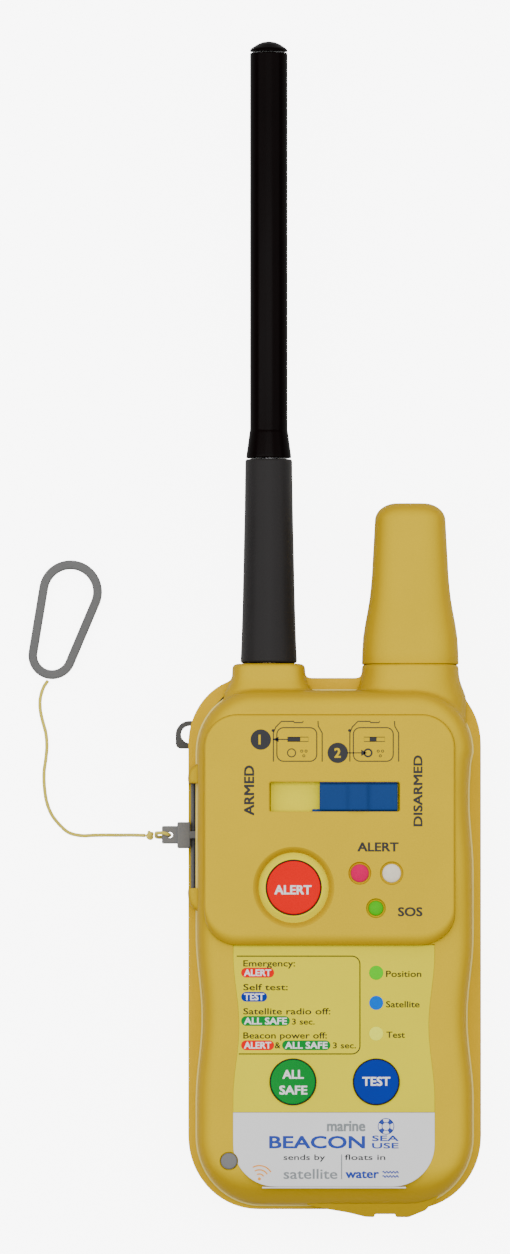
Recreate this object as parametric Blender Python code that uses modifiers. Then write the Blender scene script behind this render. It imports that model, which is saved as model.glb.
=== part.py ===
"""Hand-held emergency position beacon with a whip antenna, a satellite antenna and a pull-tab lanyard.

The beacon lies on its back: +X to its right, +Y towards the antennas, +Z out of its control panel.
The origin is the middle of the flat back. Dimensions are in millimetres, and MM turns them into metres.
"""

import math

import bmesh
import bpy
from mathutils import Matrix, Vector

MM = 0.001
GAP = 0.3

# Casing
REAR_HALF_WIDTH = 42.0
REAR_HALF_LENGTH = 76.5
FRONT_HALF_WIDTH = 39.9
FRONT_HALF_LENGTH = 74.8
SEAM_Z = 20.0
SEAM_HALF_GAP = 0.15
FACE_Z = 36.0
FLOOR_WALL = 2.4
CEILING_Z = 33.0
CAVITY_HALF_WIDTH = 36.2
CAVITY_HALF_LENGTH = 72.5
FACE_ROUNDING = 5.0
BACK_ROUNDING = 6.0
ANTENNA_Z = 19.5

# Screws that hold the shells together: x and y of each
SCREW_PLACES = [
    (-32.0, 60.5),
    (32.0, 58.0),
    (-33.3, -6.0),
    (33.3, -6.0),
    (-22.0, -66.0),
    (22.0, -66.0),
]
POST_RADIUS = 4.0
SCREW_HOLE_RADIUS = 1.75
SCREW_SHANK_RADIUS = 1.45
SCREW_HEAD_RADIUS = 2.75
SCREW_HEAD_Z = (0.3, 2.3)
SCREW_TIP_Z = 30.0
SCREW_SOCKET_RADIUS = 1.1

# Gasket between the shells
GASKET_HALF_WIDTH = 37.3
GASKET_HALF_LENGTH = 73.6
GASKET_HALF_BAND = 0.4
GROOVE_HALF_BAND = 0.7
GROOVE_DEPTH = 1.2

# Panel cover and what is set in it
COVER_LOW = (-37.4, -0.4)
COVER_HIGH = (34.3, 65.5)
COVER_TOP = 39.5
SLOT_LOW = (-18.7, 37.7)
SLOT_HIGH = (18.5, 46.2)
SLOT_LIP_Z = 38.0
SLIDER_TRAVEL = 11.8
SLIDER_LEFT = -4.4
SLIDER_RIGHT = 17.9
SLIDER_SKIRT_LEFT = -6.5
SLIDER_SKIRT_OVERLAP = 0.8
SLIDER_BASE_Z = 37.1
SLIDER_TOP_Z = 39.6
SLIDER_MIDDLE = (SLIDER_LEFT + SLIDER_RIGHT) / 2
SLIDER_RIDGE = [(10.2, 39.6), (8.9, 40.6), (4.4, 40.6), (2.9, 39.6)]
MAGNET_RADIUS = 2.5
ALERT_CENTRE = (-11.8, 16.0)
ALERT_WELL_RADIUS = 11.2
ALERT_RADIUS = 7.85
LEDS = [
    ("led_red", (7.1, 20.1), 2.55, "clear_red"),
    ("led_white", (16.2, 20.1), 2.65, "clear_white"),
    ("led_green", (11.7, 10.1), 2.1, "clear_green"),
]

# Keypad
FOIL_TOP = -0.9
FOIL_SPLIT = -48.2
LABEL_BOTTOM = -69.4
PANEL_LEFT = -29.1
PANEL_RIGHT = 28.5
PANEL_WAIST = 1.7
RECESS_DEPTH = 0.6
KEY_RADIUS = 6.55
KEYS = [
    ("safe_button", "green_key", (-12.0, -39.5)),
    ("test_button", "blue_key", (11.8, -39.5)),
]
POCKET_FLOOR = 34.0
POCKET_GAP = 0.35
DOME_HEIGHT = 0.8
DOMES = [("alert_dome", ALERT_CENTRE, 5.5), ("safe_dome", KEYS[0][2], 4.5), ("test_dome", KEYS[1][2], 4.5)]
WINDOW_X = 11.8
WINDOW_RADIUS = 2.0
WINDOWS = [
    ("window_position", -8.3, "window_green"),
    ("window_satellite", -16.9, "window_blue"),
    ("window_test", -25.7, "window_pale"),
]
WATER_CONTACT = (-30.3, -62.1)
CONTACT_RADIUS = 2.35
CONTACT_SHANK_RADIUS = 1.0

# Antennas
WHIP_X = -18.9
BOSS_TOP = 80.4
BOSS_HALF_WIDTH = 10.5
SLEEVE_TOP = 139.3
FOOT_TOP = 147.7
WHIP_TOP = 256.1
TIP_TOP = 259.5
WHIP_RADIUS = 5.4
WHIP_FOOT_RADIUS = 6.5
CORE_RADIUS = 2.0
CORE_START = 93.0
STUD_RADIUS = 3.2
SOCKET_RADIUS = 6.0
SOCKET_SPAN = (61.0, 76.0)
RADOME_X = 21.7
RADOME_WALL = 1.8
RADOME_FLATNESS = 0.88
RADOME_RINGS = [
    (88.0, 13.55),
    (96.0, 12.2),
    (102.0, 11.35),
    (110.0, 10.8),
    (117.0, 10.4),
    (122.0, 10.15),
]
RADOME_TOP = 126.6
NECK_HALF_WIDTH = 13.9
NECK_HALF_DEPTH = 12.2
NECK_FLARE = [(58.0, 4.0), (72.0, 4.0), (74.0, 2.2), (76.5, 0.7), (79.0, 0.1), (80.25, 0.0)]

# Release gear on the left side
SIDE_SLOT = (16.0, 46.2)
EARS = [
    [(-37.5, 9.5), (-37.5, 17.0), (-42.0, 17.0), (-42.0, 13.0), (-39.9, 9.5)],
    [(-37.5, 45.0), (-37.5, 51.2), (-39.9, 51.2), (-42.0, 48.6), (-42.0, 45.0)],
]
EAR_TOP_Z = 27.0
BAR_X = -40.65
BAR_Z = 15.0
BAR_RADIUS = 0.6
BAR_SPAN = (14.0, 48.2)
TAB_Y = 31.5
TAB_HALF_DEPTH = 2.9
TAB_HOLE_X = -47.3
LUG_LOW = (-45.7, 56.5)
LUG_HIGH = (-28.0, 64.5)
LUG_Z = (4.5, 7.5)
LUG_EYE = (-41.6, 60.6)
CORD_RADIUS = 0.45
KNOT_PLACE = (-53.0, 31.4, 14.3)
KNOT_LEAN = 65
RING_BIG = (-76.0, 101.8, 7.8)
RING_SMALL = (-81.3, 83.5, 5.55)
RING_HALF_BAND = 1.3
CORD_ROUTE = [
    (-54.5, 31.4, 13.6),
    (-56.6, 31.5, 11.6),
    (-58.6, 31.6, 8.4),
    (-60.6, 31.65, 5.0),
    (-62.9, 31.7, 2.3),
    (-65.8, 31.75, 0.9),
    (-69.2, 31.7, 0.5),
    (-72.8, 31.6, 0.5),
    (-76.3, 32.4, 0.5),
    (-78.8, 34.4, 0.5),
    (-81.3, 37.5, 0.5),
    (-82.8, 41.2, 0.5),
    (-83.5, 45.6, 0.5),
    (-83.6, 49.9, 0.5),
    (-83.1, 53.7, 0.5),
    (-82.8, 57.4, 0.5),
    (-83.1, 61.1, 0.5),
    (-84.1, 64.9, 0.5),
    (-84.7, 67.9, 0.5),
    (-84.7, 71.1, 0.6),
    (-83.8, 74.2, 0.9),
    (-82.5, 76.2, 1.3),
]

# Inside
BOARD_LOW = (-28.8, -54.0, 22.3)
BOARD_HIGH = (28.8, 54.0, 23.9)
REED_RADIUS = 1.1
REED_LENGTH = 14.0
CELL_RADIUS = 8.4
CELL_LENGTH = 34.2
CELL_X = 9.2
CELL_STARTS = (-61.0, -24.0)
CELL_Z = 11.2
CELL_POLE_RADIUS = 2.8

SIDES = 20
SMALL_SIDES = 12

COLOURS = {
    "yellow": ((0.62, 0.45, 0.065), 0.45, 0.0),
    "dark_yellow": ((0.58, 0.38, 0.03), 0.5, 0.0),
    "pale_yellow": ((0.66, 0.57, 0.12), 0.5, 0.0),
    "label_grey": ((0.48, 0.50, 0.51), 0.5, 0.0),
    "blue": ((0.02, 0.09, 0.28), 0.4, 0.0),
    "red": ((0.81, 0.03, 0.02), 0.4, 0.0),
    "green_key": ((0.015, 0.22, 0.04), 0.45, 0.0),
    "blue_key": ((0.005, 0.08, 0.33), 0.45, 0.0),
    "clear_red": ((0.72, 0.03, 0.14), 0.2, 0.0),
    "clear_white": ((0.6, 0.57, 0.53), 0.2, 0.0),
    "clear_green": ((0.15, 0.53, 0.02), 0.2, 0.0),
    "window_green": ((0.2, 0.6, 0.04), 0.3, 0.0),
    "window_blue": ((0.02, 0.22, 0.7), 0.3, 0.0),
    "window_pale": ((0.65, 0.65, 0.2), 0.3, 0.0),
    "black": ((0.008, 0.006, 0.006), 0.2, 0.0),
    "sleeve": ((0.035, 0.033, 0.032), 0.45, 0.0),
    "grey": ((0.2, 0.195, 0.19), 0.5, 0.0),
    "rubber": ((0.02, 0.02, 0.02), 0.7, 0.0),
    "cord": ((0.42, 0.34, 0.07), 0.8, 0.0),
    "steel": ((0.55, 0.55, 0.56), 0.3, 1.0),
    "brass": ((0.7, 0.5, 0.2), 0.3, 1.0),
    "board": ((0.02, 0.16, 0.06), 0.4, 0.0),
    "ceramic": ((0.7, 0.66, 0.55), 0.5, 0.0),
    "cell": ((0.1, 0.2, 0.45), 0.4, 0.0),
    "glass": ((0.5, 0.7, 0.65), 0.1, 0.0),
}


# ---------------------------------------------------------------- helpers


def new_collection(name, hidden=False):
    collection = bpy.data.collections.new(name)
    collection.hide_render = hidden
    bpy.context.scene.collection.children.link(collection)
    return collection


def make_materials():
    for name, (colour, roughness, metallic) in COLOURS.items():
        material = bpy.data.materials.new(name)
        material.use_nodes = True
        shader = material.node_tree.nodes["Principled BSDF"]
        shader.inputs["Base Color"].default_value = (*colour, 1.0)
        shader.inputs["Roughness"].default_value = roughness
        shader.inputs["Metallic"].default_value = metallic
        material.diffuse_color = (*colour, 1.0)


def add_object(name, data, material=None):
    """A new object: a piece of the beacon with a material, or a cutter without one."""
    obj = bpy.data.objects.new(name, data)
    if material:
        PARTS.objects.link(obj)
        data.materials.append(bpy.data.materials[material])
    else:
        CUTTERS.objects.link(obj)
        obj.hide_render = True
        obj.display_type = "WIRE"
    return obj


def mesh_object(name, bm, material=None, smooth=False):
    """The bmesh, in millimetres, as an object in metres."""
    bmesh.ops.transform(bm, matrix=Matrix.Scale(MM, 4), verts=bm.verts)
    mesh = bpy.data.meshes.new(name)
    bm.to_mesh(mesh)
    bm.free()
    if smooth:
        mesh.shade_smooth()
        mesh.set_sharp_from_angle(angle=math.radians(40))
    return add_object(name, mesh, material)


def box(name, low, high, material=None):
    bm = bmesh.new()
    bmesh.ops.create_cube(bm, size=1.0)
    size = Vector(high) - Vector(low)
    middle = (Vector(high) + Vector(low)) / 2
    matrix = Matrix.Translation(middle) @ Matrix.Diagonal((*size, 1.0))
    bmesh.ops.transform(bm, matrix=matrix, verts=bm.verts)
    return mesh_object(name, bm, material)


def cylinder(name, centre, radius, start, end, material=None, along="Z", sides=SIDES, top_radius=None):
    """A cylinder or cone from start to end on the given axis; centre holds the two other coordinates."""
    bm = bmesh.new()
    bmesh.ops.create_cone(
        bm,
        cap_ends=True,
        segments=sides,
        radius1=radius,
        radius2=radius if top_radius is None else top_radius,
        depth=end - start,
    )
    middle = (start + end) / 2
    if along == "Z":
        place, turn = (*centre, middle), Matrix.Identity(4)
    elif along == "Y":
        place, turn = (centre[0], middle, centre[1]), Matrix.Rotation(-math.pi / 2, 4, "X")
    else:
        place, turn = (middle, *centre), Matrix.Rotation(math.pi / 2, 4, "Y")
    bmesh.ops.transform(bm, matrix=Matrix.Translation(place) @ turn, verts=bm.verts)
    return mesh_object(name, bm, material, smooth=True)


def prism(name, outline, low, high, material=None, smooth=False):
    """A flat outline extruded from z low to z high, with its end rings in the vertex groups low and high."""
    bm = bmesh.new()
    ring = [bm.verts.new((x, y, low)) for x, y in outline]
    face = bm.faces.new(ring)
    top = bmesh.ops.extrude_face_region(bm, geom=[face])["geom"]
    raised = [v for v in top if isinstance(v, bmesh.types.BMVert)]
    bmesh.ops.translate(bm, vec=(0, 0, high - low), verts=raised)
    bmesh.ops.recalc_face_normals(bm, faces=bm.faces)
    obj = mesh_object(name, bm, material, smooth)
    middle = (low + high) / 2 * MM
    for label, above in (("low", False), ("high", True)):
        chosen = [v.index for v in obj.data.vertices if (v.co.z > middle) == above]
        obj.vertex_groups.new(name=label).add(chosen, 1.0, "REPLACE")
    return obj


def round_edge(obj, group, width, segments):
    modifier = obj.modifiers.new("Round_" + group, "BEVEL")
    modifier.limit_method = "VGROUP"
    modifier.vertex_group = group
    modifier.width = width * MM
    modifier.segments = segments


def boolean(target, other, operation):
    modifier = target.modifiers.new(operation.title() + "_" + other.name, "BOOLEAN")
    modifier.operation = operation
    modifier.object = other


def cut(target, *cutters):
    for cutter in cutters:
        boolean(target, cutter, "DIFFERENCE")


def join(target, *others):
    for other in others:
        boolean(target, other, "UNION")


def corner(centre, radii, start, steps=6):
    """Points of a quarter ellipse, anticlockwise from start degrees."""
    points = []
    for i in range(steps + 1):
        a = math.radians(start + 90 * i / steps)
        points.append((centre[0] + radii[0] * math.cos(a), centre[1] + radii[1] * math.sin(a)))
    return points


def rounded(low, high, corners, steps=6):
    """A rectangle with elliptical corners: radii (x, y) at top right, top left, bottom left, bottom right."""
    (tr, tl, bl, br) = corners
    points = corner((high[0] - tr[0], high[1] - tr[1]), tr, 0, steps)
    points += corner((low[0] + tl[0], high[1] - tl[1]), tl, 90, steps)
    points += corner((low[0] + bl[0], low[1] + bl[1]), bl, 180, steps)
    points += corner((high[0] - br[0], low[1] + br[1]), br, 270, steps)
    return points


def waist(y, centre, half_length, depth):
    """How far a side is pulled in at y, by a smooth hollow about centre."""
    t = (y - centre) / half_length
    return depth * math.cos(t * math.pi / 2) ** 2 if abs(t) < 1 else 0.0


def turned(name, profile, centre, material=None, along="Y", steps=SIDES, tube=False):
    """A turned piece: (radius, height) down its outer side, and for a tube back up its bore."""
    mesh = bpy.data.meshes.new(name)
    count = len(profile)
    edges = [(i, i + 1) for i in range(count - 1)]
    if tube:
        edges.append((count - 1, 0))
    mesh.from_pydata([(r * MM, 0.0, h * MM) for r, h in profile], edges, [])
    obj = add_object(name, mesh, material)
    screw = obj.modifiers.new("Turn", "SCREW")
    screw.steps = steps
    screw.render_steps = steps
    screw.use_merge_vertices = True
    screw.merge_threshold = 1e-6
    if along == "Y":
        obj.location = (centre[0] * MM, 0.0, centre[1] * MM)
        obj.rotation_euler = (-math.pi / 2, 0.0, 0.0)
    else:
        obj.location = (centre[0] * MM, centre[1] * MM, 0.0)
    return obj


def tube(name, points, radius, material, closed=False):
    """A round cord or wire along points, with filled caps unless it is closed."""
    curve = bpy.data.curves.new(name, "CURVE")
    curve.dimensions = "3D"
    curve.bevel_depth = radius * MM
    curve.bevel_resolution = 2
    curve.use_fill_caps = not closed
    spline = curve.splines.new("POLY")
    spline.points.add(len(points) - 1)
    for point, place in zip(spline.points, points):
        point.co = (*(c * MM for c in place), 1.0)
    spline.use_cyclic_u = closed
    return add_object(name, curve, material)


def smooth_route(route, spacing):
    """Points about spacing apart on a smooth curve through the route's points."""
    knots = [Vector(p) for p in route]
    knots = [2 * knots[0] - knots[1], *knots, 2 * knots[-1] - knots[-2]]
    points = []
    for before, start, end, after in zip(knots, knots[1:], knots[2:], knots[3:]):
        steps = max(1, round((end - start).length / spacing))
        for i in range(steps):
            t = i / steps
            blend = (
                2 * start
                + (end - before) * t
                + (2 * before - 5 * start + 4 * end - after) * t**2
                + (3 * start - before - 3 * end + after) * t**3
            )
            points.append(blend / 2)
    return [*points, knots[-2]]


def loft(name, rings, material=None):
    """A closed solid through rings of points that run clockwise about the direction of travel."""
    bm = bmesh.new()
    loops = [[bm.verts.new(p) for p in ring] for ring in rings]
    for first, second in zip(loops, loops[1:]):
        for i in range(len(first)):
            j = (i + 1) % len(first)
            bm.faces.new((first[i], first[j], second[j], second[i]))
    bm.faces.new(loops[0])
    bm.faces.new(loops[-1])
    bmesh.ops.recalc_face_normals(bm, faces=bm.faces)
    return mesh_object(name, bm, material, smooth=True)


def oval(centre, half_width, half_depth, y, power=2.6, count=SIDES):
    """A ring of points across Y: a rounded rectangle about (x, z)."""
    points = []
    for i in range(count):
        a = 2 * math.pi * i / count
        c, s = math.cos(a), math.sin(a)
        x = half_width * math.copysign(abs(c) ** (2 / power), c)
        z = half_depth * math.copysign(abs(s) ** (2 / power), s)
        points.append((centre[0] + x, y, centre[1] + z))
    return points


# ---------------------------------------------------------------- casing


def front_outline(grow=0.0):
    """The front shell seen from the front, with a shallow hollow on each side for the fingers."""
    w, h = FRONT_HALF_WIDTH + grow, FRONT_HALF_LENGTH + grow
    stations = range(-44, 55, 11)
    points = corner((w - 17, h - 18), (17, 18), 0) + corner((-w + 17, h - 18), (17, 18), 90)
    points += [(-w + waist(y, -21, 24, 1.7), y) for y in reversed(stations)]
    points += corner((-w + 19, -h + 20), (19, 20), 180) + corner((w - 19, -h + 20), (19, 20), 270)
    points += [(w - waist(y, -21, 24, 1.8) - waist(y, 42, 22, 1.2), y) for y in stations]
    return points


def boss(name, low_z, high_z, edge):
    """One half of the whip antenna's boss, cut at the seam."""
    insets = ((58.0, 0.0), (BOSS_TOP - edge, 0.0), (BOSS_TOP - 0.4 * edge, 0.3 * edge), (BOSS_TOP, edge))
    rings = []
    for y, inset in insets:
        half = BOSS_HALF_WIDTH - inset
        rings.append(oval((WHIP_X, ANTENNA_Z), half, half, y, power=4.0))
    body = loft(name, rings)
    side = BOSS_HALF_WIDTH + 5
    keep = box(name + "_half", (WHIP_X - side, 50, low_z), (WHIP_X + side, BOSS_TOP + 5, high_z))
    boolean(body, keep, "INTERSECT")
    return body


def neck(name, low_z, high_z):
    """One half of the satellite antenna's neck, which widens into the casing."""
    rings = []
    for y, extra in NECK_FLARE:
        size = (NECK_HALF_WIDTH + extra, NECK_HALF_DEPTH + 0.5 * extra)
        rings.append(oval((RADOME_X, ANTENNA_Z), *size, y))
    body = loft(name, rings)
    keep = box(name + "_half", (RADOME_X - 25, 50, low_z), (RADOME_X + 25, BOSS_TOP + 5, high_z))
    boolean(body, keep, "INTERSECT")
    return body


def lobe(name, low, high):
    """The swelling at the lower end, with a shallow notch for a fingernail."""
    ends = [(28.5, -70.0), (28.5, -73.8), (25.0, -76.3), (21.2, -78.3), (17.3, -78.3), (17.3, -77.5)]
    ends += [(11.5, -77.5), (11.5, -78.3), (8.6, -78.2), (3.9, -77.2), (-1.0, -75.9), (-1.0, -70.0)]
    return prism(name, ends, low, high)


def antenna_openings(shell, prefix):
    """The bores that lead from the cavity to the two antennas."""
    centre = (WHIP_X, ANTENNA_Z)
    start, end = SOCKET_SPAN
    socket = cylinder(prefix + "_socket_bore", centre, SOCKET_RADIUS + GAP, start - 1, end + 0.4, along="Y")
    stud = cylinder(prefix + "_stud_bore", centre, 4.5, end - 1, BOSS_TOP + 2, along="Y")
    groove = cylinder(prefix + "_o_ring_groove", centre, 6.5, BOSS_TOP - 1.6, BOSS_TOP + 3, along="Y")
    rings = [oval((RADOME_X, ANTENNA_Z), 10.6, 9.6, y) for y in (68.0, BOSS_TOP + 2)]
    cut(shell, socket, stud, groove, loft(prefix + "_throat", rings))


def cavity(name, low, high):
    size = (CAVITY_HALF_WIDTH, CAVITY_HALF_LENGTH)
    outline = rounded((-size[0], -size[1]), size, [(14, 16), (14, 16), (16, 18), (16, 18)], 5)
    return prism(name, outline, low, high)


def side_slot(name):
    """The slot in the left side in which the retaining bar stands."""
    return box(name, (-46.0, SIDE_SLOT[0], 10.5), (-38.5, SIDE_SLOT[1], SEAM_Z + 2))


def make_rear_shell():
    w, h = REAR_HALF_WIDTH, REAR_HALF_LENGTH
    high = SEAM_Z - SEAM_HALF_GAP
    outline = rounded((-w, -h), (w, h), [(17, 19), (17, 19), (20, 21), (20, 21)])
    shell = prism("rear_shell", outline, 0.0, high, "dark_yellow", smooth=True)
    round_edge(shell, "low", BACK_ROUNDING, 3)
    round_edge(shell, "high", 0.8, 1)
    join(shell, boss("rear_boss", 5.0, high, 1.2), neck("rear_neck", 5.0, high))
    join(shell, lobe("rear_lobe", 9.0, high))
    cut(shell, cavity("rear_cavity", FLOOR_WALL, SEAM_Z + 5))
    block = box("lug_block", (-39.0, 52.0, 1.0), (-26.0, 68.0, 10.5))
    round_off = cylinder("lug_block_corner", (-26.0, 68.0), 4.0, 0.0, 12.0)
    cut(block, round_off)
    join(shell, block)
    for i, place in enumerate(SCREW_PLACES):
        join(shell, cylinder(f"rear_post_{i}", place, POST_RADIUS, 1.0, high, sides=SMALL_SIDES))
    seat_z = SCREW_HEAD_Z[1] + GAP
    for i, place in enumerate(SCREW_PLACES):
        hole = cylinder(f"rear_hole_{i}", place, SCREW_HOLE_RADIUS, -1.0, SEAM_Z + 1, sides=SMALL_SIDES)
        seat = cylinder(f"rear_seat_{i}", place, SCREW_HEAD_RADIUS + GAP, -1.0, seat_z, sides=SMALL_SIDES)
        cut(shell, hole, seat)
    antenna_openings(shell, "rear")
    lug_slot = box(
        "lug_slot",
        (LUG_LOW[0] - 4, LUG_LOW[1] - 0.4, LUG_Z[0] - GAP),
        (LUG_HIGH[0] + 0.4, LUG_HIGH[1] + 0.4, LUG_Z[1] + GAP),
    )
    cut(shell, side_slot("rear_side_slot"), lug_slot)
    start, end = BAR_SPAN[0] - 0.4, BAR_SPAN[1] + 0.4
    hole_radius = BAR_RADIUS + GAP
    bar_holes = cylinder("bar_holes", (BAR_X, BAR_Z), hole_radius, start, end, along="Y", sides=SMALL_SIDES)
    floor = high - GROOVE_DEPTH
    groove = prism("gasket_groove", gasket_outline(GROOVE_HALF_BAND), floor, SEAM_Z + 1)
    core = prism("gasket_groove_core", gasket_outline(-GROOVE_HALF_BAND), SEAM_Z - 2, SEAM_Z + 2)
    cut(groove, core, gasket_gate("gasket_groove_gate", 27.0))
    cut(shell, bar_holes, groove)


def gasket_outline(offset):
    w, h = GASKET_HALF_WIDTH + offset, GASKET_HALF_LENGTH + offset
    return rounded((-w, -h), (w, h), [(14, 15), (14, 15), (17, 18), (17, 18)], 5)


def gasket_gate(name, half_width):
    """The stretch below the two antennas, where the gasket stops."""
    return box(name, (-half_width, 66.0, SEAM_Z - 4), (half_width + 7, 80.0, SEAM_Z + 4))


def make_gasket():
    gasket = prism("shell_gasket", gasket_outline(GASKET_HALF_BAND), SEAM_Z - 1.05, SEAM_Z, "rubber")
    opening = prism("gasket_opening", gasket_outline(-GASKET_HALF_BAND), SEAM_Z - 3, SEAM_Z + 3)
    cut(gasket, opening, gasket_gate("gasket_gate", 27.3))


def panel_outline(top, bottom, grow=0.0, corner_radius=0.0):
    """The keypad foil's or the label's outline, pulled in along both sides like the casing."""
    steps = 8
    side = top - bottom - corner_radius
    ys = [bottom + corner_radius + side * i / steps for i in range(steps + 1)]
    right = [(PANEL_RIGHT + grow - waist(y, -23.5, 21, PANEL_WAIST), y) for y in ys]
    left = [(PANEL_LEFT - grow + waist(y, -23.5, 21, PANEL_WAIST), y) for y in reversed(ys)]
    points = right + left
    if corner_radius:
        radii = (corner_radius, corner_radius)
        points += corner((PANEL_LEFT - grow + corner_radius, bottom + corner_radius), radii, 180)[1:]
        points += corner((PANEL_RIGHT + grow - corner_radius, bottom + corner_radius), radii, 270)[:-1]
    return points


def make_front_shell():
    low = SEAM_Z + SEAM_HALF_GAP
    shell = prism("front_shell", front_outline(), low, FACE_Z, "yellow", smooth=True)
    round_edge(shell, "high", FACE_ROUNDING, 3)
    join(shell, boss("front_boss", low, 35.0, 1.2), neck("front_neck", low, 35.0))
    join(shell, lobe("front_lobe", low, 28.0))
    for i, outline in enumerate(EARS):
        ear = prism(f"front_ear_{i}", outline, low, EAR_TOP_Z)
        round_edge(ear, "high", 1.5, 2)
        join(shell, ear)
    cut(shell, cavity("front_cavity", SEAM_Z - 5, CEILING_Z))
    for i, place in enumerate(SCREW_PLACES):
        post = cylinder(f"front_post_{i}", place, POST_RADIUS, low, CEILING_Z + 0.5, sides=SMALL_SIDES)
        join(shell, post)
    antenna_openings(shell, "front")
    notch = box("side_notch", (-46.0, SIDE_SLOT[0], SEAM_Z - 2), (-39.3, SIDE_SLOT[1], FACE_Z + 2))
    outline = panel_outline(FOIL_TOP, LABEL_BOTTOM, GAP, 12.0)
    cut(shell, notch, prism("panel_recess", outline, FACE_Z - RECESS_DEPTH, FACE_Z + 2))
    cut_front_holes(shell)


def cut_front_holes(shell):
    """The screw holes, the pockets under the keys, and the holes for the lights and the water contact."""
    holes = []
    for i, place in enumerate(SCREW_PLACES):
        holes.append((f"front_hole_{i}", place, SCREW_HOLE_RADIUS, SEAM_Z - 1, SCREW_TIP_Z + 0.5))
    through = (CEILING_Z - 2, FACE_Z + 2)
    for name, place, radius, _ in LEDS:
        holes.append((name + "_hole", place, radius + GAP, *through))
    for name, y, _ in WINDOWS:
        holes.append((name + "_hole", (WINDOW_X, y), WINDOW_RADIUS + GAP, *through))
    holes.append(("water_contact_hole", WATER_CONTACT, CONTACT_SHANK_RADIUS + GAP, *through))
    holes.append(("water_contact_seat", WATER_CONTACT, CONTACT_RADIUS + GAP, FACE_Z - 0.8, FACE_Z + 2))
    for hole in holes:
        cut(shell, cylinder(*hole, sides=SMALL_SIDES))
    pockets = [("alert_pocket", ALERT_CENTRE, ALERT_RADIUS + POCKET_GAP)]
    pockets += [(name + "_pocket", place, KEY_RADIUS + GAP) for name, _, place in KEYS]
    for pocket in pockets:
        cut(shell, cylinder(*pocket, POCKET_FLOOR, FACE_Z + 2))


def make_water_contact():
    r, shank, top, end = CONTACT_RADIUS, CONTACT_SHANK_RADIUS, FACE_Z + 0.3, CEILING_Z - 2
    profile = [(0, top), (r - 0.25, top), (r, top - 0.25), (r, FACE_Z - 0.5)]
    profile += [(shank, FACE_Z - 0.5), (shank, end), (0, end)]
    turned("water_contact", profile, WATER_CONTACT, "steel", along="Z", steps=14)


def make_screws():
    head, shank = SCREW_HEAD_RADIUS, SCREW_SHANK_RADIUS
    bottom, top = SCREW_HEAD_Z
    profile = [(0, SCREW_TIP_Z), (shank - 0.5, SCREW_TIP_Z), (shank, SCREW_TIP_Z - 0.8)]
    profile += [(shank, top), (head, top), (head, bottom + 0.4), (head - 0.4, bottom), (0, bottom)]
    for i, place in enumerate(SCREW_PLACES, 1):
        screw = turned(f"case_screw_{i}", profile, place, "steel", along="Z", steps=SMALL_SIDES)
        cut(screw, cylinder(f"screw_socket_{i}", place, SCREW_SOCKET_RADIUS, -1.0, top - 0.8, sides=6))


# ---------------------------------------------------------------- panel


def make_panel_cover():
    outline = rounded(COVER_LOW, COVER_HIGH, [(9.5, 9.5), (9.5, 9.5), (9.5, 9.5), (10.5, 9.0)], 6)
    cover = prism("panel_cover", outline, FACE_Z + GAP, COVER_TOP, "yellow", smooth=True)
    round_edge(cover, "high", 1.8, 2)
    slot = prism("slider_slot", rounded(SLOT_LOW, SLOT_HIGH, [(0.6, 0.6)] * 4, 2), FACE_Z, COVER_TOP + 1)
    under = box(
        "slider_undercut",
        (SLOT_LOW[0], SLOT_LOW[1] - 1.1, FACE_Z),
        (SLOT_HIGH[0], SLOT_HIGH[1] + 1.1, SLOT_LIP_Z),
    )
    well = cylinder("alert_well", ALERT_CENTRE, ALERT_WELL_RADIUS, FACE_Z, COVER_TOP + 1, sides=28)
    cut(cover, slot, under, well)
    for name, place, radius, _ in LEDS:
        hole = cylinder(name + "_cover_hole", place, radius + GAP, FACE_Z, COVER_TOP + 1, sides=SMALL_SIDES)
        span = (COVER_TOP - 0.8, COVER_TOP + 0.2)
        rim = cylinder(name + "_rim", place, radius + 0.35, *span, sides=24, top_radius=radius + 0.9)
        cut(cover, hole, rim)


def make_leds():
    """Each lens is a rod with a domed top that ends just above the board."""
    top, dome, end = COVER_TOP + 0.1, 1.1, 27.0
    for name, place, radius, material in LEDS:
        profile = [(0, top)]
        for a in (0.4, 0.8, 1.2, math.pi / 2):
            profile.append((radius * math.sin(a), top - dome * (1 - math.cos(a))))
        profile += [(radius, end), (0, end)]
        turned(name, profile, place, material, along="Z", steps=14)


def make_slider(pivot):
    overlap = SLIDER_SKIRT_OVERLAP
    box(
        "slider_track",
        (SLOT_LOW[0] + GAP, SLOT_LOW[1] - overlap, FACE_Z + GAP),
        (SLOT_HIGH[0] - GAP, SLOT_HIGH[1] + overlap, FACE_Z + 0.8),
        "pale_yellow",
    )
    base, top = SLIDER_BASE_Z, SLIDER_TOP_Z
    back, across = SLOT_LOW[1] + 0.4, SLOT_HIGH[1] - 0.6
    profile = [(SLIDER_LEFT, base), (SLIDER_RIGHT, base), (SLIDER_RIGHT, top)]
    profile += [*SLIDER_RIDGE, (SLIDER_LEFT, top)]
    slider = loft("arming_slider", [[(x, y, z) for x, z in profile] for y in (back, across)], "blue")
    skirt = box(
        "slider_skirt",
        (SLIDER_SKIRT_LEFT, SLOT_LOW[1] - overlap, base),
        (SLIDER_RIGHT, SLOT_HIGH[1] + overlap, SLOT_LIP_Z - GAP),
    )
    join(slider, skirt)
    middle = (SLIDER_MIDDLE, (back + across) / 2)
    pocket = cylinder("magnet_pocket", middle, MAGNET_RADIUS + GAP, base - 1, base + 2.1, sides=SMALL_SIDES)
    cut(slider, pocket)
    span = (base + 0.1, base + 1.8)
    magnet = cylinder("slider_magnet", middle, MAGNET_RADIUS, *span, "steel", sides=SMALL_SIDES)
    hang(pivot, slider, magnet)


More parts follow.
